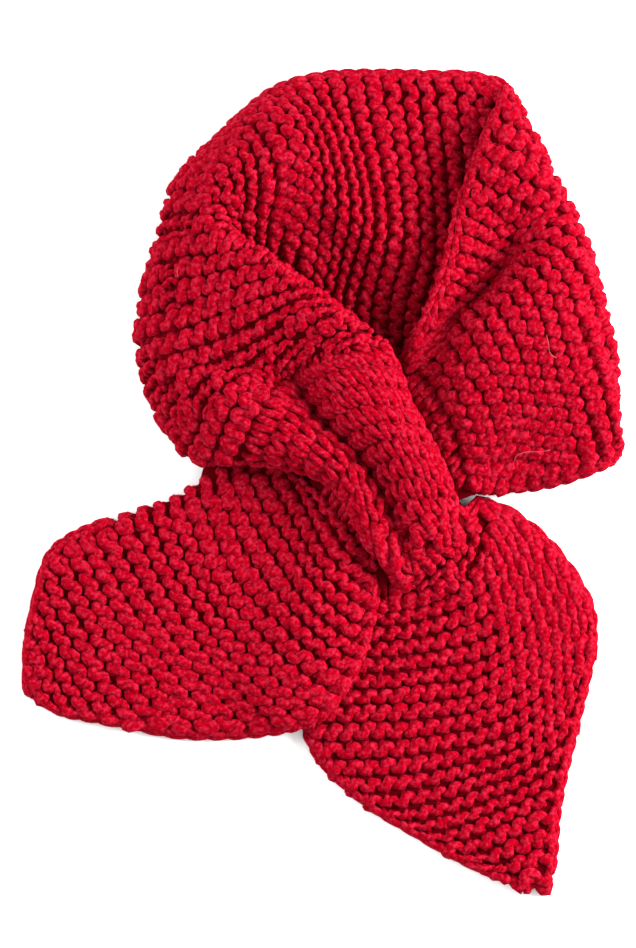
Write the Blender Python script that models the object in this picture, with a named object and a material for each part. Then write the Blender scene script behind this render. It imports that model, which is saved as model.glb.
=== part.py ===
"""Knitted pull-through scarf, laid flat.

One strip of chunky knitting, cast on at the right tail's tip and bound off at the left tail's tip.
Garter stitch throughout, apart from a knit-rib slot (two separate layers) above the right tail and
the knit-rib stretch that is pulled through that slot. Ridge numbers count the garter ridges from
the cast-on tip; one ridge is two knitted rows.

Frame: +Z up, metres, the strip lies on z = 0.
"""
import math

import bmesh
import bpy
import numpy as np

# sizes in millimetres
WALL = 4.6            # thickness of the knitting between its two wavy faces
RIDGE_RISE = 0.7      # how far a garter ridge stands out of the wall
FULL_PITCH = 6.5      # ridges closer together than this stand out less
RIB_RISE = 0.6        # how far a knit column stands out of the wall
REST_LIMIT = 2.6      # what hangs lower than this lies flat on the surface
CENTRE = (0.96, 0.57)  # middle of the outline, moved to the origin

# Section tables. A row is (ridge number, points across the strip from its long edge A to its other
# edge B); a point is (x, y, height of the strip's mid surface), in millimetres.
# Right tail, columns evenly from edge A to edge B.
RIGHT_TAIL = (
    (0, (70.5, -166, 3.2), (74, -167, 3.2), (77.5, -168, 3.2), (80.5, -169, 3.2),
     (84, -169.5, 3.2), (88, -169.5, 3.2), (91.5, -169.5, 3.2), (95.5, -169, 3.2)),
    (2, (55.5, -158.5, 3.2), (61, -159, 3.4), (66.5, -159, 3.5), (72, -159, 3.6),
     (78.5, -158.5, 3.6), (85, -158, 3.5), (91, -157, 3.3), (97, -156, 3.2)),
    (4, (38.5, -148.5, 3.2), (46, -149, 3.5), (54.5, -148.5, 3.7), (63.5, -148, 3.8),
     (72, -147, 3.8), (81, -145.5, 3.6), (89.5, -144, 3.4), (98, -142, 3.2)),
    (6, (22.5, -139, 3.2), (33, -139.5, 3.6), (43.5, -138.5, 3.9), (55.5, -138, 4),
     (67, -136, 4), (78.5, -134, 3.8), (90, -131, 3.5), (100.5, -127.5, 3.2)),
    (8, (9, -128, 3.2), (21, -129, 3.7), (34, -128, 4), (48, -127, 4),
     (62, -124.5, 4), (76.5, -122, 4), (90.5, -118, 3.6), (104, -113, 3.2)),
    (10, (-1.5, -116, 3.2), (12.5, -117, 3.7), (27.5, -116.5, 4), (43.5, -114.5, 4),
     (60, -112, 4), (76.5, -108.5, 4), (92.5, -103.5, 3.7), (107.5, -98, 3.2)),
    (12, (-6.5, -103, 3.2), (8.5, -104, 3.6), (25, -103.5, 4), (42.5, -102, 4),
     (60, -99, 4), (77.5, -95.5, 4), (95, -90, 3.9), (111, -83.5, 3.2)),
    (14, (-4, -89.5, 3.2), (11, -90.5, 3.4), (27.5, -90, 3.6), (44.5, -88, 4),
     (62, -85.5, 4), (80, -80.5, 4), (97.5, -75, 4), (113.5, -68, 3.2)),
    (16, (2.5, -75.5, 3.2), (16, -76.5, 3.3), (30.5, -76, 3.3), (46.5, -74.5, 3.6),
     (63, -71, 4), (80, -65.5, 4), (96, -59, 4), (111.5, -51.5, 3.2)),
    (18, (10, -62, 3.2), (22.5, -63.5, 3.2), (35.5, -63, 3.2), (49.5, -61, 3.5),
     (64, -56.5, 4.2), (77.5, -50, 4.8), (89.5, -40.5, 4.4), (98.5, -31, 3.2)),
    (19.5, (18, -53.5, 3.2), (27.5, -54, 3.2), (38.5, -53, 3.3), (50.5, -50.5, 4.6),
     (61.5, -45.5, 5.8), (72, -37.5, 6), (80, -27.5, 4.8), (86, -19, 3.2)),
    (20.4, (24.5, -48.5, 3.6), (32, -47.5, 4.6), (40.5, -46, 6.5), (50, -42.5, 8),
     (59, -36.5, 8.6), (66.5, -29, 8), (72, -20.5, 6.2), (76, -12.5, 4.2)),
)

# Slot's front layer, columns: edge A, roll, roll, crease, roll, roll, roll, edge B.
SLOT_FRONT = (
    (21, (30, -43.5, 7.5), (35.5, -41, 9), (42.5, -38, 10), (49.5, -34.5, 10.5),
     (56, -29.5, 10.5), (61, -22.5, 10), (64.5, -16, 8.5), (65.5, -9.5, 7.2)),
    (21.5, (27.5, -39.5, 14), (30, -37, 17), (33, -34.5, 17.3), (36.5, -32, 16),
     (40.5, -29.5, 18), (48.5, -26, 19.5), (56.5, -21.5, 18), (61.5, -15.5, 13.5)),
    (22.3, (22.5, -33, 18), (24, -28.5, 21.3), (27, -25.5, 21.8), (30.5, -23, 19),
     (35, -20, 22), (42.5, -17.5, 25), (52, -16, 22.5), (57.5, -12.5, 17.5)),
    (24, (15.5, -19.5, 18.4), (17, -13, 24.5), (20, -9, 25), (25, -5, 20),
     (30, -1.5, 25.5), (38, 1, 29), (47.5, -0.5, 26.5), (53, -2, 18)),
    (26, (8, -6, 18.4), (9, 0.5, 25.5), (12.5, 6, 26.5), (16.5, 9.5, 20),
     (21.5, 14, 27), (30, 16.5, 31), (40.5, 14.5, 28), (47, 12, 18)),
    (28, (-2.5, 1.5, 18.2), (-1.5, 7.5, 26), (2.5, 14.5, 28), (6.5, 18.5, 21),
     (12.5, 23, 28.5), (22, 26, 32), (34, 25, 29), (41, 22.5, 18.7)),
    (30, (-14.5, 5, 17.5), (-13, 12, 26), (-8.5, 21, 28.5), (-2, 28, 21),
     (5, 34.5, 29.5), (14.5, 38, 33), (27.5, 37, 30), (35.5, 34, 19.5)),
    (31.7, (-25, 6.5, 16), (-23.5, 14.5, 24.5), (-17, 26.5, 28.5), (-8.5, 37, 21),
     (1, 43.5, 30), (12.5, 47.5, 33.5), (26, 47.5, 30.5), (32, 44.5, 21)),
)

# Neck, columns: edge A, curl, flank, top, crest, brow, tuck, edge B.
NECK = (
    (33, (-34.5, 7.5, 14), (-32.5, 16.5, 23), (-25, 31, 29), (-14.5, 43, 21),
     (-1.5, 50, 30), (13, 53.5, 34), (24, 54.5, 31), (27.5, 53.5, 24)),
    (35, (-47.5, 7.5, 13), (-45, 16.5, 21), (-34.5, 33, 28), (-16.5, 45, 23),
     (-2, 53, 31), (11, 57, 35), (20.5, 58, 32.5), (24, 56.5, 25)),
    (37, (-58, 12, 7), (-56.5, 19, 15), (-44, 37.5, 27), (-19, 46.5, 26),
     (-3.5, 56, 32), (9, 60.5, 36), (18, 61, 33), (20.5, 56.5, 23.5)),
    (39, (-64, 29, 3.2), (-69.5, 32.5, 9), (-59, 42, 22), (-22.5, 48.5, 27),
     (-5.5, 59, 33), (7, 63.5, 36.5), (15.5, 63, 33), (17.5, 53.5, 20)),
    (41, (-67.5, 53.5, 3.2), (-75, 55, 9), (-65.5, 55, 21), (-40.5, 54.5, 27),
     (-15.5, 58, 31), (4, 66.5, 37), (12, 65.5, 33), (14, 50, 17)),
    (43, (-68.5, 70, 3.2), (-74.5, 70, 9), (-65, 69.5, 20), (-43, 69.5, 27),
     (-18.5, 71, 33), (-3.5, 74, 36), (5.5, 71.5, 31), (6.5, 47.5, 13.5)),
    (45, (-66, 84.5, 3.2), (-72, 84.5, 9), (-63.5, 85.5, 19), (-45.5, 84, 27),
     (-26.5, 85, 32), (-14.5, 85, 34), (-9, 80.5, 27), (-1.5, 44, 12.8)),
    (46, (-64.5, 91, 3.2), (-69.5, 91.5, 9), (-61.5, 93, 18), (-46.5, 91.5, 26),
     (-33, 92.5, 30), (-23.5, 91.5, 31.5), (-18.5, 85, 24), (-9.5, 42.5, 12.6)),
    (47, (-62, 98, 3.2), (-68, 99, 9), (-60, 100.5, 18), (-48.5, 99.5, 25),
     (-39, 100, 28), (-32, 97, 28), (-27, 86.5, 18), (-17, 40, 12.4)),
    (48, (-60, 105.5, 3.2), (-66, 107, 9), (-58.5, 108.5, 18), (-49.5, 108, 24),
     (-43.5, 106, 25), (-38, 100, 21), (-33, 84.5, 12), (-27, 38, 7.8)),
    (49, (-58, 112, 3.2), (-64, 114, 9), (-56.5, 115.5, 18), (-48.5, 114.5, 24),
     (-43.5, 111.5, 25), (-39.5, 104.5, 20), (-33, 85.5, 6), (-22.5, 38, 3.2)),
    (50, (-55.5, 118.5, 3.2), (-61, 121, 9), (-54, 122.5, 18), (-47.5, 120, 24),
     (-43, 115, 25), (-38.5, 106.5, 19), (-30, 85.5, 5), (-17, 38.5, 3.2)),
    (52, (-48, 130, 3.2), (-53, 131.5, 9), (-45.5, 132.5, 19), (-40, 127.5, 25),
     (-36.5, 120, 25), (-34.5, 109, 17), (-24.5, 84.5, 4), (-6.5, 39.5, 3.2)),
    (54, (-40.5, 141, 3.2), (-43.5, 140, 8), (-36.5, 140.5, 18), (-30.5, 134, 25),
     (-27.5, 124.5, 25), (-26, 111, 16), (-15, 83.5, 3.6), (4, 42, 3.2)),
    (57, (-33, 153.5, 3.2), (-31.5, 152, 6), (-24.5, 154.5, 13), (-14.5, 148.5, 22),
     (-8.5, 137.5, 25), (-5.5, 121.5, 20), (1, 94, 6), (18.5, 43, 3.2)),
    (60, (-17, 165, 3.2), (-12.5, 161.5, 6.5), (-6, 155.5, 12), (1, 145, 19),
     (6.5, 129, 22), (12, 112, 18), (17.5, 88, 6), (33.5, 43, 3.2)),
    (63, (3.5, 169.5, 3.2), (6, 162.5, 5.5), (9.5, 151, 10), (14.5, 138, 14),
     (19.5, 122, 17), (26, 105.5, 16), (33.5, 81.5, 6.5), (48.5, 42, 3.2)),
    (66, (24.5, 170, 3.2), (26, 162.5, 4.5), (29, 150.5, 6.5), (33, 135, 9),
     (38, 117, 12), (44.5, 99.5, 11.5), (52.5, 76, 5.5), (64, 40, 3.2)),
    (69, (46, 169.5, 3.2), (48.5, 161.5, 4), (51.5, 147.5, 5), (56, 130, 6.3),
     (61.5, 111, 7), (67.5, 92, 6), (74.5, 69.5, 3.6), (80, 35.5, 3.2)),
    (71, (64.5, 169, 3.6), (68, 159.5, 4.2), (72.5, 144.5, 4.8), (77.5, 125.5, 5),
     (82.5, 105.5, 5), (87.5, 84.5, 4.4), (91, 62.5, 3.6), (95, 30, 3.2)),
    (72, (73, 167, 4.6), (77, 159, 5), (81, 144, 5), (85.5, 124.5, 5),
     (90.5, 103.5, 4.8), (95, 81.5, 4.2), (98.5, 59, 3.5), (102.5, 26.5, 3.2)),
    (72.7, (76.5, 163.5, 8.3), (81, 155, 8.6), (86.5, 141.5, 7.5), (90.5, 122, 6),
     (95.5, 101, 5), (99.5, 78.5, 4.3), (103.5, 56, 3.5), (107, 24, 3.2)),
    (73.4, (75, 157.5, 12), (81, 151, 13.5), (89, 140, 11), (92, 125.5, 7),
     (97.5, 103, 5.4), (102.5, 77.5, 4.3), (107, 54, 3.5), (111, 21.5, 3.2)),
    (74.2, (72, 151, 15), (80, 145, 18), (90, 136.5, 17), (94, 125.5, 9),
     (99, 103.5, 6.3), (106, 76, 4.4), (111, 51.5, 3.5), (115, 18, 3.2)),
    (75.5, (67.5, 140.5, 19), (78, 135.5, 22), (91, 126.5, 22), (100, 118, 14.5),
     (101.5, 106.5, 7), (108.5, 76, 4.4), (114, 50, 3.6), (118.5, 14.5, 3.2)),
    (77, (63, 127.5, 22), (73, 121.5, 23.5), (88.5, 114.5, 23), (101.5, 111, 21),
     (109, 98.5, 12.5), (113.5, 73, 5.5), (118, 46, 4), (122, 11.5, 3.2)),
    (78.5, (59, 117, 24), (69.5, 111.5, 22), (82.5, 103.5, 17), (96.5, 102.5, 24),
     (108.5, 91, 22), (117, 70, 15), (122, 41.5, 11.5), (123.5, 9, 9)),
    (80, (56.5, 106.5, 25), (67, 102, 20), (80, 95.5, 13.5), (93, 94.5, 25.5),
     (105, 79.5, 27.5), (113.5, 57.5, 22), (117.5, 33, 17), (118.5, 6, 13)),
    (82, (53.5, 92.5, 25), (62, 89, 18), (74, 82, 12.2), (84.5, 84.5, 27),
     (93.5, 71.5, 29.5), (101, 51.5, 25), (103.5, 29, 18), (104, 0.5, 11)),
    (84, (49, 79, 24), (56, 76.5, 17), (66, 73.5, 12), (75.5, 74.5, 27),
     (82.5, 64, 29), (88, 46.5, 24.5), (90.5, 22.5, 16), (90, -3, 7.5)),
    (86, (43, 65.5, 22), (48.5, 66, 17), (57, 67, 13), (64.5, 63.5, 25.5),
     (70, 52.5, 26.5), (75, 37.5, 22), (78, 18.5, 14.5), (77.5, -4, 7)),
    (87.5, (37.5, 55.5, 18.5), (43.5, 56.5, 16.5), (51, 54.5, 16.5), (56.5, 48.5, 22),
     (60.5, 38, 21.5), (64.5, 27, 18), (68.5, 12, 13), (69.5, -4.5, 8.5)),
    (89, (33, 45.5, 13), (37.5, 46, 13.5), (42, 41.5, 14.5), (46.5, 34, 14.5),
     (51, 25, 14), (55.5, 15.5, 12.5), (59.5, 6, 11), (63.5, -4, 9.8)),
)

# Stretch that is pulled through, columns evenly from edge A to edge B.
SLOT_PASS = (
    (91, (27, 35, 10.5), (30.5, 33, 11), (35.5, 29, 11.4), (39.5, 22.5, 11.6),
     (43.5, 15.5, 11.5), (47.5, 8.5, 11), (51, 1, 10.4), (54, -6.5, 9.8)),
    (94, (17, 19.5, 10), (20.5, 17, 10.8), (25, 12, 11.4), (29, 6.5, 11.7),
     (33, 0, 11.6), (36, -6.5, 11.2), (39.5, -12, 10.5), (42.5, -17.5, 9.8)),
    (97, (6, 5.5, 10), (10, 1.5, 10.9), (14, -3.5, 11.6), (17.5, -9, 12),
     (21.5, -14.5, 11.9), (24.5, -19.5, 11.4), (27, -24, 10.6), (29, -28, 9.8)),
)

# Left tail, columns evenly from edge A to edge B.
LEFT_TAIL = (
    (99.3, (-4, -2.5, 9), (1, -7.5, 10.5), (5.5, -13, 12.2), (10, -19, 12.9),
     (14, -25, 12.6), (17, -30.5, 11.8), (20, -36.5, 10.8), (22.5, -42, 10)),
    (101, (-15, 5.5, 5), (-9, -3.5, 5.6), (-4, -13, 7.2), (1.5, -22.5, 12.3),
     (7.5, -32.5, 14.3), (12.5, -40.5, 13.4), (17, -48.5, 11.6), (21, -56, 10)),
    (103, (-28.5, 7.5, 3.3), (-22, -5.5, 4.2), (-14.5, -18, 5.2), (-7.5, -30, 8.5),
     (0, -41.5, 14), (6.5, -52.5, 14), (12.5, -63.5, 11.8), (17, -72.5, 9.9)),
    (105, (-42, 3.5, 3.2), (-34.5, -10, 4.4), (-26.5, -24, 5.4), (-18.5, -37.5, 7.4),
     (-10.5, -50.5, 12.2), (-3, -63.5, 13.2), (4, -76, 11.6), (9.5, -87.5, 9.9)),
    (107, (-55.5, -4, 3.2), (-47.5, -17.5, 4.6), (-39.5, -32.5, 5.6), (-31, -46.5, 6.6),
     (-22.5, -60.5, 9.6), (-14.5, -74, 11.2), (-6.5, -87.5, 11), (0, -99, 10)),
    (109, (-67.5, -9, 3.2), (-59.5, -22.5, 4.4), (-51.5, -37.5, 5.4), (-43.5, -51.5, 6),
     (-35.5, -66, 7.2), (-27, -80, 8.6), (-19, -93, 8.8), (-12, -104, 8)),
    (111, (-80, -13.5, 3.2), (-72, -27, 4), (-64, -41, 4.8), (-56, -55, 5.4),
     (-48, -69.5, 5.8), (-40.5, -82.5, 5.6), (-33, -95.5, 4.6), (-27, -106.5, 3.4)),
    (113, (-92.5, -19, 3.2), (-85, -32, 3.8), (-77.5, -45.5, 4.4), (-69.5, -59, 4.8),
     (-62.5, -72, 5), (-56, -85.5, 4.6), (-49, -97.5, 3.8), (-43.5, -107.5, 3.2)),
    (115, (-104.5, -24.5, 3.2), (-98, -36.5, 3.6), (-91.5, -49, 4), (-85, -61.5, 4.3),
     (-78.5, -74, 4.3), (-72, -86, 4), (-66.5, -97.5, 3.5), (-61, -107, 3.2)),
    (117, (-114.5, -33, 3.2), (-109.5, -44, 3.4), (-104.5, -55, 3.8), (-99, -66, 4),
     (-94, -76.5, 4), (-89, -86.5, 3.8), (-84.5, -96, 3.4), (-80, -103.5, 3.2)),
    (119, (-120, -50, 3.2), (-117, -59, 3.3), (-113, -67.5, 3.5), (-109.5, -75, 3.6),
     (-106.5, -82.5, 3.6), (-103, -88.5, 3.5), (-100, -94.5, 3.3), (-97.5, -100, 3.2)),
    (121, (-124, -72.5, 3.2), (-122, -77.5, 3.2), (-120.5, -81, 3.3), (-118.5, -85, 3.3),
     (-116.5, -88.5, 3.3), (-114, -92, 3.3), (-112.5, -95, 3.2), (-110.5, -97.5, 3.2)),
    (122.2, (-124, -85.5, 3.2), (-123, -87, 3.2), (-122, -88.5, 3.2), (-121, -90.5, 3.2),
     (-119.5, -91.5, 3.2), (-118.5, -93, 3.2), (-117, -94, 3.2), (-115, -95.5, 3.2)),
)

# Slot's back layer, columns evenly from edge A to edge B.
SLOT_BACK = (
    (21.1, (37.5, -37, 4.2), (43.5, -34.5, 4.9), (49.5, -31.5, 5.3),
     (54.5, -27, 5.3), (58.5, -21.5, 4.9), (62, -15.5, 4.1)),
    (21.9, (29.5, -33.5, 3.2), (36.5, -30, 3.2), (43.5, -27, 3.2),
     (50, -22, 3.2), (55, -16, 3.2), (59, -9.5, 3.2)),
    (23.5, (19.5, -25.5, 3.2), (27, -20.5, 3.2), (35, -16.5, 3.2),
     (42.5, -12, 3.2), (49.5, -6.5, 3.2), (55.5, -1, 3.2)),
    (26, (9, -7, 3.2), (17, -1.5, 3.2), (24.5, 3.5, 3.2),
     (32.5, 8.5, 3.2), (40, 13.5, 3.2), (46.5, 18, 3.2)),
    (29, (-3.5, 5.5, 3.2), (4, 11.5, 3.2), (12, 17, 3.2),
     (20, 22, 3.2), (27.5, 27, 3.2), (34.5, 31.5, 3.2)),
    (31, (-12, 12, 5), (-5, 17, 5.4), (2.5, 22.5, 5.6),
     (10, 26.5, 5.4), (17.5, 30, 4.8), (25, 33, 3.6)),
    (32, (-19, 17.5, 9), (-12.5, 24.5, 11), (-6.5, 31, 12.4),
     (1.5, 35, 12.4), (9, 37.5, 12), (15.5, 38, 11)),
    (33, (-23.5, 23.5, 11), (-19, 31, 12.8), (-14, 38.5, 14.2),
     (-6, 41.5, 14.8), (3.5, 43.5, 14.8), (11.5, 44, 14.4)),
)

STRIP = RIGHT_TAIL + SLOT_FRONT + NECK + SLOT_PASS + LEFT_TAIL

TAIL_CELLS = (1, 1, 1, 1, 1, 1, 1)
FRONT_CELLS = (2, 4, 3, 4, 4, 4, 3)
NECK_CELLS = (1, 2, 1, 2, 2, 2, 1)
PASS_CELLS = (3, 3, 3, 4, 3, 3, 3)
BACK_CELLS = (4, 4, 5, 5, 4)
CRIMSON = (0.62, 0.012, 0.035)

# name, section table, first ridge, last ridge, gap at each end, ridges per step, cells, stitch
STRETCHES = (
    ("tail_right", STRIP, 0.0, 21.0, 0.0, 0.40, 0.5, TAIL_CELLS, "garter"),
    ("slot_front", STRIP, 21.0, 33.0, 0.40, 0.50, 1.0, FRONT_CELLS, "rib"),
    ("slot_back", SLOT_BACK, 21.1, 33.0, 0.0, 0.0, 1.0, BACK_CELLS, "rib"),
    ("neck_left", STRIP, 33.0, 53.0, 0.50, 0.15, 0.5, NECK_CELLS, "garter"),
    ("neck_back", STRIP, 53.0, 71.0, 0.15, 0.15, 0.5, NECK_CELLS, "garter"),
    ("neck_right", STRIP, 71.0, 89.0, 0.15, 0.35, 0.5, NECK_CELLS, "garter"),
    ("slot_pass", STRIP, 89.0, 99.3, 0.35, 0.35, 1.0, PASS_CELLS, "rib"),
    ("tail_left", STRIP, 99.3, 122.2, 0.35, 0.0, 0.5, TAIL_CELLS, "garter"),
)


def smooth(points, knots, places):
    """Smooth curve through points at knots, read at places."""
    points = np.asarray(points, float)
    knots = np.asarray(knots, float)
    places = np.asarray(places, float)
    gaps = np.diff(knots)
    slopes = np.diff(points, axis=0) / gaps[:, None]
    tangents = np.zeros_like(points)
    before = slopes[:-1] * gaps[1:, None]
    after = slopes[1:] * gaps[:-1, None]
    tangents[1:-1] = (before + after) / (gaps[:-1] + gaps[1:])[:, None]
    tangents[0] = 1.5 * slopes[0] - 0.5 * tangents[1]
    tangents[-1] = 1.5 * slopes[-1] - 0.5 * tangents[-2]
    spot = np.clip(np.searchsorted(knots, places, side="right") - 1, 0, len(gaps) - 1)
    gap = gaps[spot][:, None]
    s = (places - knots[spot])[:, None] / gap
    from_left = (2 * s**3 - 3 * s**2 + 1) * points[spot] + (s**3 - 2 * s**2 + s) * gap * tangents[spot]
    to_right = (3 * s**2 - 2 * s**3) * points[spot + 1] + (s**3 - s**2) * gap * tangents[spot + 1]
    return from_left + to_right


def across(points, cells):
    """Points across one section, a number of cells for each interval of the table's columns."""
    points = np.asarray(points, float)
    steps = np.sqrt(np.linalg.norm(np.diff(points, axis=0), axis=1))
    knots = np.concatenate([[0.0], np.cumsum(steps)])
    places = [0.0]
    for column, count in enumerate(cells):
        places.extend(np.linspace(knots[column], knots[column + 1], count + 1)[1:])
    return smooth(points, knots, places)


def mid_surface(table, ridges, cells):
    """Grid of points on the strip's mid surface."""
    knots = [row[0] for row in table]
    rows = np.array([across(row[1:], cells) for row in table])
    flat = smooth(rows.reshape(len(rows), -1), knots, ridges)
    return flat.reshape(len(ridges), rows.shape[1], 3)


def unit(vectors):
    """Vectors of length one."""
    return vectors / np.linalg.norm(vectors, axis=2, keepdims=True)


def stretch_grid(table, first, last, gap_first, gap_last, step, cells):
    """Ridge numbers, mid surface, normals and ridge fullness of a stretch, its ends drawn in by the gaps."""
    inner = np.arange(math.ceil(first / step) * step, last, step)
    inner = [value for value in inner if first + 0.3 * step < value < last - 0.3 * step]
    ridges = np.array([first] + inner + [last])
    mid = mid_surface(table, ridges, cells)
    ahead = mid_surface(table, ridges + 0.2, cells)
    behind = mid_surface(table, ridges - 0.2, cells)
    along = unit(ahead - behind)
    pitch = np.linalg.norm(ahead - behind, axis=2, keepdims=True) / 0.4
    normal = unit(np.cross(np.gradient(mid, axis=1), along))
    mid[0] += along[0] * gap_first
    mid[-1] -= along[-1] * gap_last
    return ridges, mid, normal, np.minimum(pitch / FULL_PITCH, 1.0)


def faces_of(ridges, mid, normal, fullness, stitch):
    """Front and back face of the knitting, from the mid surface's points moved out."""
    if stitch == "garter":
        wave = RIDGE_RISE * fullness * np.cos(2 * math.pi * ridges)[:, None, None]
        front = mid + normal * (WALL / 2 + wave)
        back = mid - normal * (WALL / 2 - wave)
    else:
        column = np.where(np.arange(mid.shape[1]) % 2 == 1, RIB_RISE, -RIB_RISE)[None, :, None]
        front = mid + normal * (WALL / 2 + column)
        back = mid - normal * (WALL / 2 + column)
    for face in (front, back):
        height = face[:, :, 2]
        height[height < REST_LIMIT] = 0.0
    return front, back


def closed_mesh(name, front, back):
    """One closed body between the two faces."""
    rows, columns = front.shape[:2]
    count = rows * columns
    points = np.concatenate([front.reshape(-1, 3), back.reshape(-1, 3)]) * 0.001
    polygons = []
    for i in range(rows - 1):
        for j in range(columns - 1):
            a = i * columns + j
            b = a + columns
            polygons.append((a, a + 1, b + 1, b))
            polygons.append((count + a, count + b, count + b + 1, count + a + 1))
    for j in range(columns - 1):
        low = j
        high = (rows - 1) * columns + j
        polygons.append((low, count + low, count + low + 1, low + 1))
        polygons.append((high, high + 1, count + high + 1, count + high))
    for i in range(rows - 1):
        left = i * columns
        right = left + columns - 1
        polygons.append((left, left + columns, count + left + columns, count + left))
        polygons.append((right, count + right, count + right + columns, right + columns))
    mesh = bpy.data.meshes.new(name)
    mesh.from_pydata([tuple(point) for point in points], [], polygons)
    shape = bmesh.new()
    shape.from_mesh(mesh)
    bmesh.ops.triangulate(shape, faces=shape.faces[:])
    if shape.calc_volume(signed=True) < 0:
        bmesh.ops.reverse_faces(shape, faces=shape.faces[:])
    shape.to_mesh(mesh)
    shape.free()
    mesh.update()
    return mesh


def wool(name):
    """The stretch's own material."""
    material = bpy.data.materials.new(name)
    material.use_nodes = True
    shader = material.node_tree.nodes["Principled BSDF"]
    shader.inputs["Base Color"].default_value = (*CRIMSON, 1.0)
    shader.inputs["Roughness"].default_value = 0.9
    return material


def build():
    """Make every stretch of the scarf."""
    for old in list(bpy.data.objects):
        bpy.data.objects.remove(old, do_unlink=True)
    offset = np.array([CENTRE[0], CENTRE[1], 0.0])
    for name, table, first, last, gap_first, gap_last, step, cells, stitch in STRETCHES:
        ridges, mid, normal, fullness = stretch_grid(table, first, last, gap_first, gap_last, step, cells)
        front, back = faces_of(ridges, mid - offset, normal, fullness, stitch)
        stretch = bpy.data.objects.new(name, closed_mesh(name, front, back))
        stretch.data.materials.append(wool(name))
        bpy.context.scene.collection.objects.link(stretch)


build()
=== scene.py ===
"""Looks of a knitted pull-through scarf, laid flat.

Every visible loop of the knitting is a yarn of its own: garter stitch on the tails and the neck, knit
ribs on both layers of the slot and on the stretch that is pulled through it, and a slip-stitch chain
along the edges. Under the loops lies a thin backing of the same form, coloured much darker than the
yarn as painted shade in the gaps between the loops.
"""
import math

import bmesh
import bpy
import numpy as np
from bpy.props import FloatProperty, FloatVectorProperty, IntProperty, PointerProperty
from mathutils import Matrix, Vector


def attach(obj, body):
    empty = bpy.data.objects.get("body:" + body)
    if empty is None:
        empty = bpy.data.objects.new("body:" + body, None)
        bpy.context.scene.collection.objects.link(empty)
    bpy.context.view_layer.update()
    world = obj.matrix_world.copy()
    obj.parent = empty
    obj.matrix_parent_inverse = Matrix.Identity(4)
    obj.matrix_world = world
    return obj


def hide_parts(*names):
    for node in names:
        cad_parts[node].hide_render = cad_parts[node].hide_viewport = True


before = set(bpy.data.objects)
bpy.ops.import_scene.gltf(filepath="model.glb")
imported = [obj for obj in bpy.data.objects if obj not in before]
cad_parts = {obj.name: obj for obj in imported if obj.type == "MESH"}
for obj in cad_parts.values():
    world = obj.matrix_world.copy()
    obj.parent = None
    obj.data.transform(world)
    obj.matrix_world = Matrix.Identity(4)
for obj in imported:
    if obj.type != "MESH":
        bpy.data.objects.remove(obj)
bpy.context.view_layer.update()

bl_info = {
    "name": "Knitted pull-through scarf",
    "version": (1, 0, 0),
    "blender": (4, 5, 0),
    "location": "3D View > Sidebar > Scarf",
    "description": "Knits the scarf's garter stitch, ribs and edges on its folded form",
    "category": "Object",
}

BODY = "root"

# Middle of the laid scarf's outline, moved to the origin, in millimetres.
CENTRE = (0.96, 0.57)

# Section tables. A row is (ridge number, points across the strip from its long edge A to its other
# edge B); a point is (x, y, height of the strip's mid surface), in millimetres.
# Right tail, columns evenly from edge A to edge B.
RIGHT_TAIL = (
    (0, (70.5, -166, 3.2), (74, -167, 3.2), (77.5, -168, 3.2), (80.5, -169, 3.2),
     (84, -169.5, 3.2), (88, -169.5, 3.2), (91.5, -169.5, 3.2), (95.5, -169, 3.2)),
    (2, (55.5, -158.5, 3.2), (61, -159, 3.4), (66.5, -159, 3.5), (72, -159, 3.6),
     (78.5, -158.5, 3.6), (85, -158, 3.5), (91, -157, 3.3), (97, -156, 3.2)),
    (4, (38.5, -148.5, 3.2), (46, -149, 3.5), (54.5, -148.5, 3.7), (63.5, -148, 3.8),
     (72, -147, 3.8), (81, -145.5, 3.6), (89.5, -144, 3.4), (98, -142, 3.2)),
    (6, (22.5, -139, 3.2), (33, -139.5, 3.6), (43.5, -138.5, 3.9), (55.5, -138, 4),
     (67, -136, 4), (78.5, -134, 3.8), (90, -131, 3.5), (100.5, -127.5, 3.2)),
    (8, (9, -128, 3.2), (21, -129, 3.7), (34, -128, 4), (48, -127, 4),
     (62, -124.5, 4), (76.5, -122, 4), (90.5, -118, 3.6), (104, -113, 3.2)),
    (10, (-1.5, -116, 3.2), (12.5, -117, 3.7), (27.5, -116.5, 4), (43.5, -114.5, 4),
     (60, -112, 4), (76.5, -108.5, 4), (92.5, -103.5, 3.7), (107.5, -98, 3.2)),
    (12, (-6.5, -103, 3.2), (8.5, -104, 3.6), (25, -103.5, 4), (42.5, -102, 4),
     (60, -99, 4), (77.5, -95.5, 4), (95, -90, 3.9), (111, -83.5, 3.2)),
    (14, (-4, -89.5, 3.2), (11, -90.5, 3.4), (27.5, -90, 3.6), (44.5, -88, 4),
     (62, -85.5, 4), (80, -80.5, 4), (97.5, -75, 4), (113.5, -68, 3.2)),
    (16, (2.5, -75.5, 3.2), (16, -76.5, 3.3), (30.5, -76, 3.3), (46.5, -74.5, 3.6),
     (63, -71, 4), (80, -65.5, 4), (96, -59, 4), (111.5, -51.5, 3.2)),
    (18, (10, -62, 3.2), (22.5, -63.5, 3.2), (35.5, -63, 3.2), (49.5, -61, 3.5),
     (64, -56.5, 4.2), (77.5, -50, 4.8), (89.5, -40.5, 4.4), (98.5, -31, 3.2)),
    (19.5, (18, -53.5, 3.2), (27.5, -54, 3.2), (38.5, -53, 3.3), (50.5, -50.5, 4.6),
     (61.5, -45.5, 5.8), (72, -37.5, 6), (80, -27.5, 4.8), (86, -19, 3.2)),
    (20.4, (24.5, -48.5, 3.6), (32, -47.5, 4.6), (40.5, -46, 6.5), (50, -42.5, 8),
     (59, -36.5, 8.6), (66.5, -29, 8), (72, -20.5, 6.2), (76, -12.5, 4.2)),
)

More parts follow.
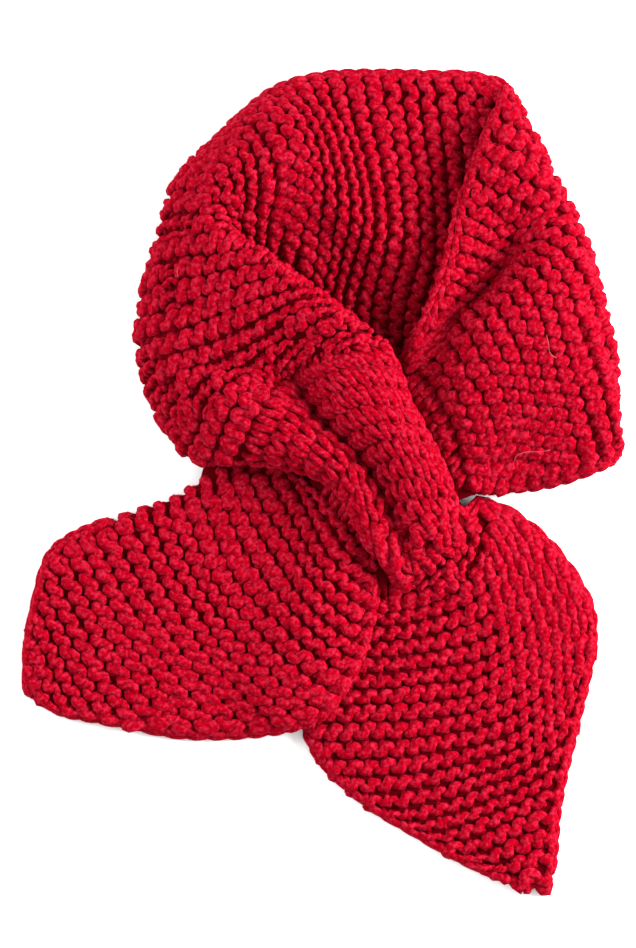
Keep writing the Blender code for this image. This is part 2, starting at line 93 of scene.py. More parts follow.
# Slot's front layer, columns: edge A, roll, roll, crease, roll, roll, roll, edge B.
SLOT_FRONT = (
    (21, (30, -43.5, 7.5), (35.5, -41, 9), (42.5, -38, 10), (49.5, -34.5, 10.5),
     (56, -29.5, 10.5), (61, -22.5, 10), (64.5, -16, 8.5), (65.5, -9.5, 7.2)),
    (21.5, (27.5, -39.5, 14), (30, -37, 17), (33, -34.5, 17.3), (36.5, -32, 16),
     (40.5, -29.5, 18), (48.5, -26, 19.5), (56.5, -21.5, 18), (61.5, -15.5, 13.5)),
    (22.3, (22.5, -33, 18), (24, -28.5, 21.3), (27, -25.5, 21.8), (30.5, -23, 19),
     (35, -20, 22), (42.5, -17.5, 25), (52, -16, 22.5), (57.5, -12.5, 17.5)),
    (24, (15.5, -19.5, 18.4), (17, -13, 24.5), (20, -9, 25), (25, -5, 20),
     (30, -1.5, 25.5), (38, 1, 29), (47.5, -0.5, 26.5), (53, -2, 18)),
    (26, (8, -6, 18.4), (9, 0.5, 25.5), (12.5, 6, 26.5), (16.5, 9.5, 20),
     (21.5, 14, 27), (30, 16.5, 31), (40.5, 14.5, 28), (47, 12, 18)),
    (28, (-2.5, 1.5, 18.2), (-1.5, 7.5, 26), (2.5, 14.5, 28), (6.5, 18.5, 21),
     (12.5, 23, 28.5), (22, 26, 32), (34, 25, 29), (41, 22.5, 18.7)),
    (30, (-14.5, 5, 17.5), (-13, 12, 26), (-8.5, 21, 28.5), (-2, 28, 21),
     (5, 34.5, 29.5), (14.5, 38, 33), (27.5, 37, 30), (35.5, 34, 19.5)),
    (31.7, (-25, 6.5, 16), (-23.5, 14.5, 24.5), (-17, 26.5, 28.5), (-8.5, 37, 21),
     (1, 43.5, 30), (12.5, 47.5, 33.5), (26, 47.5, 30.5), (32, 44.5, 21)),
)

# Neck, columns: edge A, curl, flank, top, crest, brow, tuck, edge B.
NECK = (
    (33, (-34.5, 7.5, 14), (-32.5, 16.5, 23), (-25, 31, 29), (-14.5, 43, 21),
     (-1.5, 50, 30), (13, 53.5, 34), (24, 54.5, 31), (27.5, 53.5, 24)),
    (35, (-47.5, 7.5, 13), (-45, 16.5, 21), (-34.5, 33, 28), (-16.5, 45, 23),
     (-2, 53, 31), (11, 57, 35), (20.5, 58, 32.5), (24, 56.5, 25)),
    (37, (-58, 12, 7), (-56.5, 19, 15), (-44, 37.5, 27), (-19, 46.5, 26),
     (-3.5, 56, 32), (9, 60.5, 36), (18, 61, 33), (20.5, 56.5, 23.5)),
    (39, (-64, 29, 3.2), (-69.5, 32.5, 9), (-59, 42, 22), (-22.5, 48.5, 27),
     (-5.5, 59, 33), (7, 63.5, 36.5), (15.5, 63, 33), (17.5, 53.5, 20)),
    (41, (-67.5, 53.5, 3.2), (-75, 55, 9), (-65.5, 55, 21), (-40.5, 54.5, 27),
     (-15.5, 58, 31), (4, 66.5, 37), (12, 65.5, 33), (14, 50, 17)),
    (43, (-68.5, 70, 3.2), (-74.5, 70, 9), (-65, 69.5, 20), (-43, 69.5, 27),
     (-18.5, 71, 33), (-3.5, 74, 36), (5.5, 71.5, 31), (6.5, 47.5, 13.5)),
    (45, (-66, 84.5, 3.2), (-72, 84.5, 9), (-63.5, 85.5, 19), (-45.5, 84, 27),
     (-26.5, 85, 32), (-14.5, 85, 34), (-9, 80.5, 27), (-1.5, 44, 12.8)),
    (46, (-64.5, 91, 3.2), (-69.5, 91.5, 9), (-61.5, 93, 18), (-46.5, 91.5, 26),
     (-33, 92.5, 30), (-23.5, 91.5, 31.5), (-18.5, 85, 24), (-9.5, 42.5, 12.6)),
    (47, (-62, 98, 3.2), (-68, 99, 9), (-60, 100.5, 18), (-48.5, 99.5, 25),
     (-39, 100, 28), (-32, 97, 28), (-27, 86.5, 18), (-17, 40, 12.4)),
    (48, (-60, 105.5, 3.2), (-66, 107, 9), (-58.5, 108.5, 18), (-49.5, 108, 24),
     (-43.5, 106, 25), (-38, 100, 21), (-33, 84.5, 12), (-27, 38, 7.8)),
    (49, (-58, 112, 3.2), (-64, 114, 9), (-56.5, 115.5, 18), (-48.5, 114.5, 24),
     (-43.5, 111.5, 25), (-39.5, 104.5, 20), (-33, 85.5, 6), (-22.5, 38, 3.2)),
    (50, (-55.5, 118.5, 3.2), (-61, 121, 9), (-54, 122.5, 18), (-47.5, 120, 24),
     (-43, 115, 25), (-38.5, 106.5, 19), (-30, 85.5, 5), (-17, 38.5, 3.2)),
    (52, (-48, 130, 3.2), (-53, 131.5, 9), (-45.5, 132.5, 19), (-40, 127.5, 25),
     (-36.5, 120, 25), (-34.5, 109, 17), (-24.5, 84.5, 4), (-6.5, 39.5, 3.2)),
    (54, (-40.5, 141, 3.2), (-43.5, 140, 8), (-36.5, 140.5, 18), (-30.5, 134, 25),
     (-27.5, 124.5, 25), (-26, 111, 16), (-15, 83.5, 3.6), (4, 42, 3.2)),
    (57, (-33, 153.5, 3.2), (-31.5, 152, 6), (-24.5, 154.5, 13), (-14.5, 148.5, 22),
     (-8.5, 137.5, 25), (-5.5, 121.5, 20), (1, 94, 6), (18.5, 43, 3.2)),
    (60, (-17, 165, 3.2), (-12.5, 161.5, 6.5), (-6, 155.5, 12), (1, 145, 19),
     (6.5, 129, 22), (12, 112, 18), (17.5, 88, 6), (33.5, 43, 3.2)),
    (63, (3.5, 169.5, 3.2), (6, 162.5, 5.5), (9.5, 151, 10), (14.5, 138, 14),
     (19.5, 122, 17), (26, 105.5, 16), (33.5, 81.5, 6.5), (48.5, 42, 3.2)),
    (66, (24.5, 170, 3.2), (26, 162.5, 4.5), (29, 150.5, 6.5), (33, 135, 9),
     (38, 117, 12), (44.5, 99.5, 11.5), (52.5, 76, 5.5), (64, 40, 3.2)),
    (69, (46, 169.5, 3.2), (48.5, 161.5, 4), (51.5, 147.5, 5), (56, 130, 6.3),
     (61.5, 111, 7), (67.5, 92, 6), (74.5, 69.5, 3.6), (80, 35.5, 3.2)),
    (71, (64.5, 169, 3.6), (68, 159.5, 4.2), (72.5, 144.5, 4.8), (77.5, 125.5, 5),
     (82.5, 105.5, 5), (87.5, 84.5, 4.4), (91, 62.5, 3.6), (95, 30, 3.2)),
    (72, (73, 167, 4.6), (77, 159, 5), (81, 144, 5), (85.5, 124.5, 5),
     (90.5, 103.5, 4.8), (95, 81.5, 4.2), (98.5, 59, 3.5), (102.5, 26.5, 3.2)),
    (72.7, (76.5, 163.5, 8.3), (81, 155, 8.6), (86.5, 141.5, 7.5), (90.5, 122, 6),
     (95.5, 101, 5), (99.5, 78.5, 4.3), (103.5, 56, 3.5), (107, 24, 3.2)),
    (73.4, (75, 157.5, 12), (81, 151, 13.5), (89, 140, 11), (92, 125.5, 7),
     (97.5, 103, 5.4), (102.5, 77.5, 4.3), (107, 54, 3.5), (111, 21.5, 3.2)),
    (74.2, (72, 151, 15), (80, 145, 18), (90, 136.5, 17), (94, 125.5, 9),
     (99, 103.5, 6.3), (106, 76, 4.4), (111, 51.5, 3.5), (115, 18, 3.2)),
    (75.5, (67.5, 140.5, 19), (78, 135.5, 22), (91, 126.5, 22), (100, 118, 14.5),
     (101.5, 106.5, 7), (108.5, 76, 4.4), (114, 50, 3.6), (118.5, 14.5, 3.2)),
    (77, (63, 127.5, 22), (73, 121.5, 23.5), (88.5, 114.5, 23), (101.5, 111, 21),
     (109, 98.5, 12.5), (113.5, 73, 5.5), (118, 46, 4), (122, 11.5, 3.2)),
    (78.5, (59, 117, 24), (69.5, 111.5, 22), (82.5, 103.5, 17), (96.5, 102.5, 24),
     (108.5, 91, 22), (117, 70, 15), (122, 41.5, 11.5), (123.5, 9, 9)),
    (80, (56.5, 106.5, 25), (67, 102, 20), (80, 95.5, 13.5), (93, 94.5, 25.5),
     (105, 79.5, 27.5), (113.5, 57.5, 22), (117.5, 33, 17), (118.5, 6, 13)),
    (82, (53.5, 92.5, 25), (62, 89, 18), (74, 82, 12.2), (84.5, 84.5, 27),
     (93.5, 71.5, 29.5), (101, 51.5, 25), (103.5, 29, 18), (104, 0.5, 11)),
    (84, (49, 79, 24), (56, 76.5, 17), (66, 73.5, 12), (75.5, 74.5, 27),
     (82.5, 64, 29), (88, 46.5, 24.5), (90.5, 22.5, 16), (90, -3, 7.5)),
    (86, (43, 65.5, 22), (48.5, 66, 17), (57, 67, 13), (64.5, 63.5, 25.5),
     (70, 52.5, 26.5), (75, 37.5, 22), (78, 18.5, 14.5), (77.5, -4, 7)),
    (87.5, (37.5, 55.5, 18.5), (43.5, 56.5, 16.5), (51, 54.5, 16.5), (56.5, 48.5, 22),
     (60.5, 38, 21.5), (64.5, 27, 18), (68.5, 12, 13), (69.5, -4.5, 8.5)),
    (89, (33, 45.5, 13), (37.5, 46, 13.5), (42, 41.5, 14.5), (46.5, 34, 14.5),
     (51, 25, 14), (55.5, 15.5, 12.5), (59.5, 6, 11), (63.5, -4, 9.8)),
)

# Stretch that is pulled through, columns evenly from edge A to edge B.
SLOT_PASS = (
    (91, (27, 35, 10.5), (30.5, 33, 11), (35.5, 29, 11.4), (39.5, 22.5, 11.6),
     (43.5, 15.5, 11.5), (47.5, 8.5, 11), (51, 1, 10.4), (54, -6.5, 9.8)),
    (94, (17, 19.5, 10), (20.5, 17, 10.8), (25, 12, 11.4), (29, 6.5, 11.7),
     (33, 0, 11.6), (36, -6.5, 11.2), (39.5, -12, 10.5), (42.5, -17.5, 9.8)),
    (97, (6, 5.5, 10), (10, 1.5, 10.9), (14, -3.5, 11.6), (17.5, -9, 12),
     (21.5, -14.5, 11.9), (24.5, -19.5, 11.4), (27, -24, 10.6), (29, -28, 9.8)),
)

# Left tail, columns evenly from edge A to edge B.
LEFT_TAIL = (
    (99.3, (-4, -2.5, 9), (1, -7.5, 10.5), (5.5, -13, 12.2), (10, -19, 12.9),
     (14, -25, 12.6), (17, -30.5, 11.8), (20, -36.5, 10.8), (22.5, -42, 10)),
    (101, (-15, 5.5, 5), (-9, -3.5, 5.6), (-4, -13, 7.2), (1.5, -22.5, 12.3),
     (7.5, -32.5, 14.3), (12.5, -40.5, 13.4), (17, -48.5, 11.6), (21, -56, 10)),
    (103, (-28.5, 7.5, 3.3), (-22, -5.5, 4.2), (-14.5, -18, 5.2), (-7.5, -30, 8.5),
     (0, -41.5, 14), (6.5, -52.5, 14), (12.5, -63.5, 11.8), (17, -72.5, 9.9)),
    (105, (-42, 3.5, 3.2), (-34.5, -10, 4.4), (-26.5, -24, 5.4), (-18.5, -37.5, 7.4),
     (-10.5, -50.5, 12.2), (-3, -63.5, 13.2), (4, -76, 11.6), (9.5, -87.5, 9.9)),
    (107, (-55.5, -4, 3.2), (-47.5, -17.5, 4.6), (-39.5, -32.5, 5.6), (-31, -46.5, 6.6),
     (-22.5, -60.5, 9.6), (-14.5, -74, 11.2), (-6.5, -87.5, 11), (0, -99, 10)),
    (109, (-67.5, -9, 3.2), (-59.5, -22.5, 4.4), (-51.5, -37.5, 5.4), (-43.5, -51.5, 6),
     (-35.5, -66, 7.2), (-27, -80, 8.6), (-19, -93, 8.8), (-12, -104, 8)),
    (111, (-80, -13.5, 3.2), (-72, -27, 4), (-64, -41, 4.8), (-56, -55, 5.4),
     (-48, -69.5, 5.8), (-40.5, -82.5, 5.6), (-33, -95.5, 4.6), (-27, -106.5, 3.4)),
    (113, (-92.5, -19, 3.2), (-85, -32, 3.8), (-77.5, -45.5, 4.4), (-69.5, -59, 4.8),
     (-62.5, -72, 5), (-56, -85.5, 4.6), (-49, -97.5, 3.8), (-43.5, -107.5, 3.2)),
    (115, (-104.5, -24.5, 3.2), (-98, -36.5, 3.6), (-91.5, -49, 4), (-85, -61.5, 4.3),
     (-78.5, -74, 4.3), (-72, -86, 4), (-66.5, -97.5, 3.5), (-61, -107, 3.2)),
    (117, (-114.5, -33, 3.2), (-109.5, -44, 3.4), (-104.5, -55, 3.8), (-99, -66, 4),
     (-94, -76.5, 4), (-89, -86.5, 3.8), (-84.5, -96, 3.4), (-80, -103.5, 3.2)),
    (119, (-120, -50, 3.2), (-117, -59, 3.3), (-113, -67.5, 3.5), (-109.5, -75, 3.6),
     (-106.5, -82.5, 3.6), (-103, -88.5, 3.5), (-100, -94.5, 3.3), (-97.5, -100, 3.2)),
    (121, (-124, -72.5, 3.2), (-122, -77.5, 3.2), (-120.5, -81, 3.3), (-118.5, -85, 3.3),
     (-116.5, -88.5, 3.3), (-114, -92, 3.3), (-112.5, -95, 3.2), (-110.5, -97.5, 3.2)),
    (122.2, (-124, -85.5, 3.2), (-123, -87, 3.2), (-122, -88.5, 3.2), (-121, -90.5, 3.2),
     (-119.5, -91.5, 3.2), (-118.5, -93, 3.2), (-117, -94, 3.2), (-115, -95.5, 3.2)),
)

# Slot's back layer, columns evenly from edge A to edge B.
SLOT_BACK = (
    (21.1, (37.5, -37, 4.2), (43.5, -34.5, 4.9), (49.5, -31.5, 5.3),
     (54.5, -27, 5.3), (58.5, -21.5, 4.9), (62, -15.5, 4.1)),
    (21.9, (29.5, -33.5, 3.2), (36.5, -30, 3.2), (43.5, -27, 3.2),
     (50, -22, 3.2), (55, -16, 3.2), (59, -9.5, 3.2)),
    (23.5, (19.5, -25.5, 3.2), (27, -20.5, 3.2), (35, -16.5, 3.2),
     (42.5, -12, 3.2), (49.5, -6.5, 3.2), (55.5, -1, 3.2)),
    (26, (9, -7, 3.2), (17, -1.5, 3.2), (24.5, 3.5, 3.2),
     (32.5, 8.5, 3.2), (40, 13.5, 3.2), (46.5, 18, 3.2)),
    (29, (-3.5, 5.5, 3.2), (4, 11.5, 3.2), (12, 17, 3.2),
     (20, 22, 3.2), (27.5, 27, 3.2), (34.5, 31.5, 3.2)),
    (31, (-12, 12, 5), (-5, 17, 5.4), (2.5, 22.5, 5.6),
     (10, 26.5, 5.4), (17.5, 30, 4.8), (25, 33, 3.6)),
    (32, (-19, 17.5, 9), (-12.5, 24.5, 11), (-6.5, 31, 12.4),
     (1.5, 35, 12.4), (9, 37.5, 12), (15.5, 38, 11)),
    (33, (-23.5, 23.5, 11), (-19, 31, 12.8), (-14, 38.5, 14.2),
     (-6, 41.5, 14.8), (3.5, 43.5, 14.8), (11.5, 44, 14.4)),
)

STRIP = RIGHT_TAIL + SLOT_FRONT + NECK + SLOT_PASS + LEFT_TAIL

# Ridge tables. A row is a ridge's number, then the ridges of the section table that it crosses, from one
# edge of the strip to the other.
RIGHT_TAIL_RIDGES = [
    (-2, -2.6, -2.6, -2.6, -3, -3.3, -3.2),
    (1, 0.1, 0.1, 0.1, 0.3, 0.4, 0.4),
    (4, 2.8, 2.8, 3.1, 3.6, 4, 4.3),
    (7, 5.7, 5.7, 6.1, 6.6, 7.1, 8.2),
    (10, 9.2, 9.3, 9.3, 9.4, 10, 13.1),
    (13, 12.7, 12.8, 12.7, 12.7, 13.7, 16.6),
    (16, 15.9, 15.7, 15.8, 15.8, 17.1, 18.7),
    (19, 18.8, 18.8, 19.1, 19.4, 20, 21),
    (22, 21.7, 22, 22.3, 22.6, 23.1, 23.4),
    (25, 24.7, 25.1, 25.5, 25.8, 26, 26),
]
NECK_RIDGES = [
    (31, 25.4, 25.6, 25.9, 26.7, 28, 29.5),
    (34, 28.4, 28.6, 28.9, 29.7, 31.6, 34.1),
    (37, 32.7, 32.3, 32.6, 34.2, 36.9, 38.1),
    (40, 37.2, 37.2, 38.2, 40.6, 41, 41.1),
    (43, 40.3, 41.2, 42.6, 43.7, 43.8, 43.7),
    (46, 44, 45.3, 46, 46.2, 46.1, 45.9),
    (49, 49, 49.2, 48.9, 48.4, 48.2, 47.9),
    (52, 52.7, 53, 51.8, 50.7, 50.3, 49.8),
    (55, 56.1, 55.9, 55.6, 53.5, 52.5, 51.8),
    (58, 59.8, 59.1, 58.8, 57.2, 54.8, 53.8),
    (61, 63.2, 62.9, 62.4, 60.5, 57.5, 56.1),
    (64, 66.6, 66.3, 65.8, 64.3, 61.6, 59.1),
    (67, 69.5, 69.2, 68.6, 67.6, 65.7, 63),
    (70, 72.1, 71.6, 71.4, 70.8, 69.7, 67.9),
    (73, 75.1, 74.9, 74.5, 74.2, 73.6, 72.5),
    (76, 78.1, 78.1, 78, 78.2, 77.4, 76.4),
    (79, 81.4, 81.2, 81.2, 81.7, 81.1, 80.2),
    (82, 84, 84.3, 84.5, 84.3, 83.8, 83.4),
    (85, 87.2, 87.2, 87.1, 86.8, 86.7, 86.7),
    (88, 89.8, 89.5, 89.4, 89.6, 90, 90.1),
    (91, 92.2, 91.9, 91.9, 92.3, 92.9, 93.4),
]
LEFT_TAIL_RIDGES = [
    (98, 96.8, 96.8, 96.9, 97, 96.9, 96.7),
    (101, 100.3, 100.2, 100.3, 100.5, 100, 99.3),
    (104, 103.7, 103.9, 103.7, 103.7, 103.1, 101.8),
    (107, 106.7, 107.1, 107.3, 106.6, 105.8, 104.5),
    (110, 110, 110.5, 110.6, 110.3, 109.5, 108.2),
    (113, 113.7, 113.8, 113.9, 113.7, 113.3, 112.6),
    (116, 117, 117, 116.9, 116.8, 116.6, 116),
    (119, 120, 120, 120, 119.9, 119.8, 119.6),
    (122, 123, 123, 123, 123.1, 123.1, 123.2),
]
RIDGES = {"tail_right": RIGHT_TAIL_RIDGES, "slot_front": RIGHT_TAIL_RIDGES, "neck_left": NECK_RIDGES,
          "neck_back": NECK_RIDGES, "neck_right": NECK_RIDGES, "tail_left": LEFT_TAIL_RIDGES}

# Stretches: name, section table, first ridge, last ridge, stitch, most stitches across, narrowest stitch
# in millimetres, and the flat width, length and area of the cut in metres.
STRETCHES = (
    ("tail_right", STRIP, 0.0, 21.0, "garter", 20, 6.8, (0.122, 0.147, 0.0140)),
    ("slot_front", STRIP, 21.0, 33.0, "rib", 17, 6.1, (0.080, 0.110, 0.0078)),
    ("slot_back", SLOT_BACK, 21.1, 33.0, "rib", 7, 6.2, (0.046, 0.105, 0.00483)),
    ("neck_left", STRIP, 33.0, 53.0, "garter", 20, 6.5, (0.134, 0.130, 0.01742)),
    ("neck_back", STRIP, 53.0, 71.0, "garter", 20, 6.5, (0.134, 0.126, 0.01688)),
    ("neck_right", STRIP, 71.0, 89.0, "garter", 20, 6.5, (0.134, 0.126, 0.01688)),
    ("slot_pass", STRIP, 89.0, 99.3, "rib", 8, 5.8, (0.062, 0.072, 0.0034)),
    ("tail_left", STRIP, 99.3, 122.2, "garter", 20, 6.8, (0.122, 0.160, 0.0150)),
)

# Ridge where the slot's ribs start. The cloth that drops from there to the tail is garter stitch.
MOUTH = 22.4

# Stretches of edge that carry a slip-stitch chain: name, the stretch that it lies on, side (0 is edge A,
# 1 is edge B), first ridge, last ridge, and the face that it turns to, at its start and at its end.
CHAINS = (
    ("tail_right_chain", "tail_right", 0, 0.6, 20.4, 1, 1),
    ("tail_right_outer_chain", "tail_right", 1, 0.6, 21.6, 1, 1),
    ("slot_inner_chain", "slot_front", 0, 22.6, 34.0, 1, 1),
    ("slot_outer_chain", "slot_front", 1, 21.6, 33.0, 1, 1),
    ("neck_top_chain", "neck_back", 0, 55.0, 89.0, 1, -1),
    ("neck_bottom_chain", "neck_right", 1, 78.0, 89.0, -1, -1),
    ("tail_left_chain", "tail_left", 1, 100.0, 121.6, -1, -1),
    ("tail_left_top_chain", "tail_left", 0, 112.4, 122.0, -1, -1),
)

# Chains across the scarf's ends: name, stretch, ridge, way out along the strip, face.
END_CHAINS = (
    ("tail_left_end_chain", "tail_left", 122.2, 1, -1),
    ("tail_right_end_chain", "tail_right", 0.0, -1, 1),
)

# The small dark gap at the foot of the slot, where no loop is drawn: millimetres across and up the view.
HOLE = (24.3, -42.4)
HOLE_RADIUS = 4.3

# Where the backing reaches past the last loops, a dark sheet of painted shade in the gaps there: stretch,
# side, ridge, spread in ridges, millimetres.
LIPS = (
    ("slot_pass", 0, 94.0, 9.0, 6.1),
    ("slot_pass", 1, 94.0, 9.0, 6.1),
    ("slot_pass", 1, 99.2, 1.0, 7.6),
    ("tail_right", 0, 21.0, 1.0, 3.5),
    ("slot_back", 0, 21.3, 1.0, 14.5),
    ("slot_front", 0, 21.0, 0.8, 3.5),
    ("tail_left", 1, 99.3, 1.4, 7.0),
    ("tail_left", 0, 104.2, 1.5, 5.5),
    ("tail_left", 0, 105.4, 0.7, 6.6),
)

# Stray hairs: first and last ridge of the cloth they lie on, millimetres across and up the view.
HAIRS = (
    (71.0, 89.0, ((93.3, 60.2), (94.3, 56.0), (94.8, 52.4), (98.1, 50.0))),
    (71.0, 89.0, ((79.8, 6.6), (80.9, 9.2), (84.6, 10.6), (92.1, 11.0), (95.1, 11.8))),
    (41.0, 53.0, ((-61.6, 87.4), (-61.8, 86.0), (-61.2, 84.4))),
)

# The groove where the slot's two bands are pinched together: millimetres across and up the view, points read
# along it, first and last ridge, depth and half width in millimetres.
GROOVE = ((-14.4, 45.2), (-8.9, 36.0), (-4.8, 26.8), (3.0, 19.6), (10.0, 13.0), (15.0, 7.2), (19.6, 1.1),
          (23.4, -5.2), (27.2, -11.5), (30.1, -17.8), (31.8, -24.9), (32.2, -30.4))
GROOVE_POINTS = 120
GROOVE_RIDGES = (21.5, 35.0)
GROOVE_DEPTH = 7.5
GROOVE_HALF = 3.0

# The grid that a surface is read from.
COLUMNS_BETWEEN = 12   # points between two columns of a table
SHARES = 97            # points across the strip, evenly along its section
RIDGE_STEP = 0.1       # ridges between two sections

# Loops. Lengths are in millimetres; a share of thickness is of the relaxed yarn's.
RIDGE_PITCH = 7.0      # one ridge, two rows, of relaxed garter stitch
STITCH = 6.9           # width at which the yarn has its relaxed thickness
QUARTER = 0.25         # ridges between the places where a row may lie
NARROWEST_ROW = 4.0
NARROWEST_LOOP = 0.6   # of a whole loop, at the ends of a row
UNEVEN_SIZE = 0.3      # share by which a loop's size changes for each millimetre of stray
SEED = 1000            # of the random stray
ROW_MARGIN = 0.5       # ridges at both ends of a surface where no row is worked
FACE_TURN = 2.4        # how sharply a loop turns from one face to the other
LOOP_SHARES = (0.84, 0.22)             # thickness at a loop's sides, and what its head and foot have more
RIB_SHARES = (0.74, 0.28)              # thickness at a rib stitch's foot, and what its legs have more
RUN_END = 0.75                         # share of thickness left at the ends of a run
EDGE_OUT = np.array([1.3, 1.7])        # how far two points of a turn at the cloth's edge lie past the loop
EDGE_ON = np.array([0.45, 1.0])        # their share of the way to the row that they turn to
EDGE_DEPTH = np.array([0.65, 0.0])     # their share of the loop's depth
LEAST_PITCH = 1.5                      # least height that a ridge is taken to have
REACHES = (3.8, 9.5)                   # least and most height that a ridge is drawn with
CROWDING = 1.6                         # power by which crowded loops get lower
WIDTH_SLACK = 1.6                      # what a loop may be taller than wide before its yarn gets thicker
THINNING = 1.25                        # power by which crowded yarn gets thinner
FATNESS = (0.66, 1.45)                 # least and most share of thickness
RIB_PLACES = 121                       # places where a rib's length is measured
RIB_COLUMNS = (0.25, 0.4, 0.55, 0.7, 0.85)   # shares of the width where it is measured
RIB_OVERLAP = 8.0                      # height of rib stitch that the loop overlap is meant for
LONGEST_RIB = 1.35                     # of the rib's row height, before a stitch is worked as two
TWIST_SHIFT = 0.0137                   # metres by which each yarn's twist starts after the last one's

# Chains. Lengths are in millimetres.
CHAIN_WIDTH = 5.0
CHAIN_STITCH = 6.6     # length of a stitch at the scarf's ends
CHAIN_LAST = 0.4       # of a stitch, from its middle to the corner, at the least
CHAIN_BACK = 0.4       # ridges back from the scarf's end, to find the way out
CHAIN_REACH = 0.66     # of a stitch, from its middle to its ends
CHAIN_SPREAD = 0.19    # of the width, how far a stitch's sides bow out
CHAIN_DEPTH = 0.9
CHAIN_SUNK = 0.4       # how far the chain's middle lies inside the edge
FOLD_OVER = (70.5, 74.0)               # ridges between which the scarf's other face turns up

# Stray hairs, in millimetres.
HAIR_POINTS = 12       # points along a hair
HAIR_NEAR = 2.5        # how near to a hair the cloth is searched for its highest point
HAIR_HEIGHT = 4.2      # middle of the hair above the cloth's mid surface
HAIR_DROP = 1.5        # how much lower its two ends are

# Backing, the dark sheet of painted shade under the loops.
BACKING_COLUMNS = 36   # faces across
BACKING_INSET = 1.6    # millimetres from the cloth's edge
BACKING_LOWEST = 1.2   # millimetres from the floor to its mid surface, at the least
BACKING_THICKNESS = 0.0018             # metres

# Wool.
FIBRE_SHARE = 0.6      # of the fibres in the wool's relief; the rest is lumps
FIBRE_RELIEF = 0.5     # how much fibres and lumps raise the surface
FIBRE_SHADE = 0.75     # how much they lighten the colour on their crests; it is painted shade, darker in the hollows
TWIST_SHARE = 0.22     # how much the twist raises the surface and, as painted shade, darkens its grooves
PLAIN_SHEEN = 0.05     # sheen of wool that is not a yarn

# Stage, in metres.
FLOOR_HALF = 3.0
LIGHT_SIZE = 1.0


# ------------------------------------------------------------------------------------------------ cloth

def smooth(points, knots, places):
    """Smooth curve through points at knots, read at places."""
    gaps = np.diff(knots)
    slopes = np.diff(points, axis=0) / gaps[:, None]
    tangents = np.zeros_like(points)
    before = slopes[:-1] * gaps[1:, None]
    after = slopes[1:] * gaps[:-1, None]
    tangents[1:-1] = (before + after) / (gaps[:-1] + gaps[1:])[:, None]
    tangents[0] = 1.5 * slopes[0] - 0.5 * tangents[1]
    tangents[-1] = 1.5 * slopes[-1] - 0.5 * tangents[-2]
    spot = np.clip(np.searchsorted(knots, places, side="right") - 1, 0, len(gaps) - 1)
    gap = gaps[spot][:, None]
    part = (places - knots[spot])[:, None] / gap
    inside = np.clip(part, 0.0, 1.0)
    start, end = points[spot], points[spot + 1]
    out, into = tangents[spot] * gap, tangents[spot + 1] * gap
    square, cube = inside ** 2, inside ** 3
    curve = (start * (2 * cube - 3 * square + 1) + out * (cube - 2 * square + inside)
             + end * (3 * square - 2 * cube) + into * (cube - square))
    return curve + np.where(part < 0, out * part, 0) + np.where(part > 1, into * (part - 1), 0)


def across(points):
    """Points across one section, close together."""
    steps = np.sqrt(np.linalg.norm(np.diff(points, axis=0), axis=1))
    knots = np.concatenate([[0.0], np.cumsum(steps)])
    places = [np.linspace(low, high, COLUMNS_BETWEEN + 1)[1:] for low, high in zip(knots[:-1], knots[1:])]
    return smooth(points, knots, np.concatenate([[0.0], *places]))


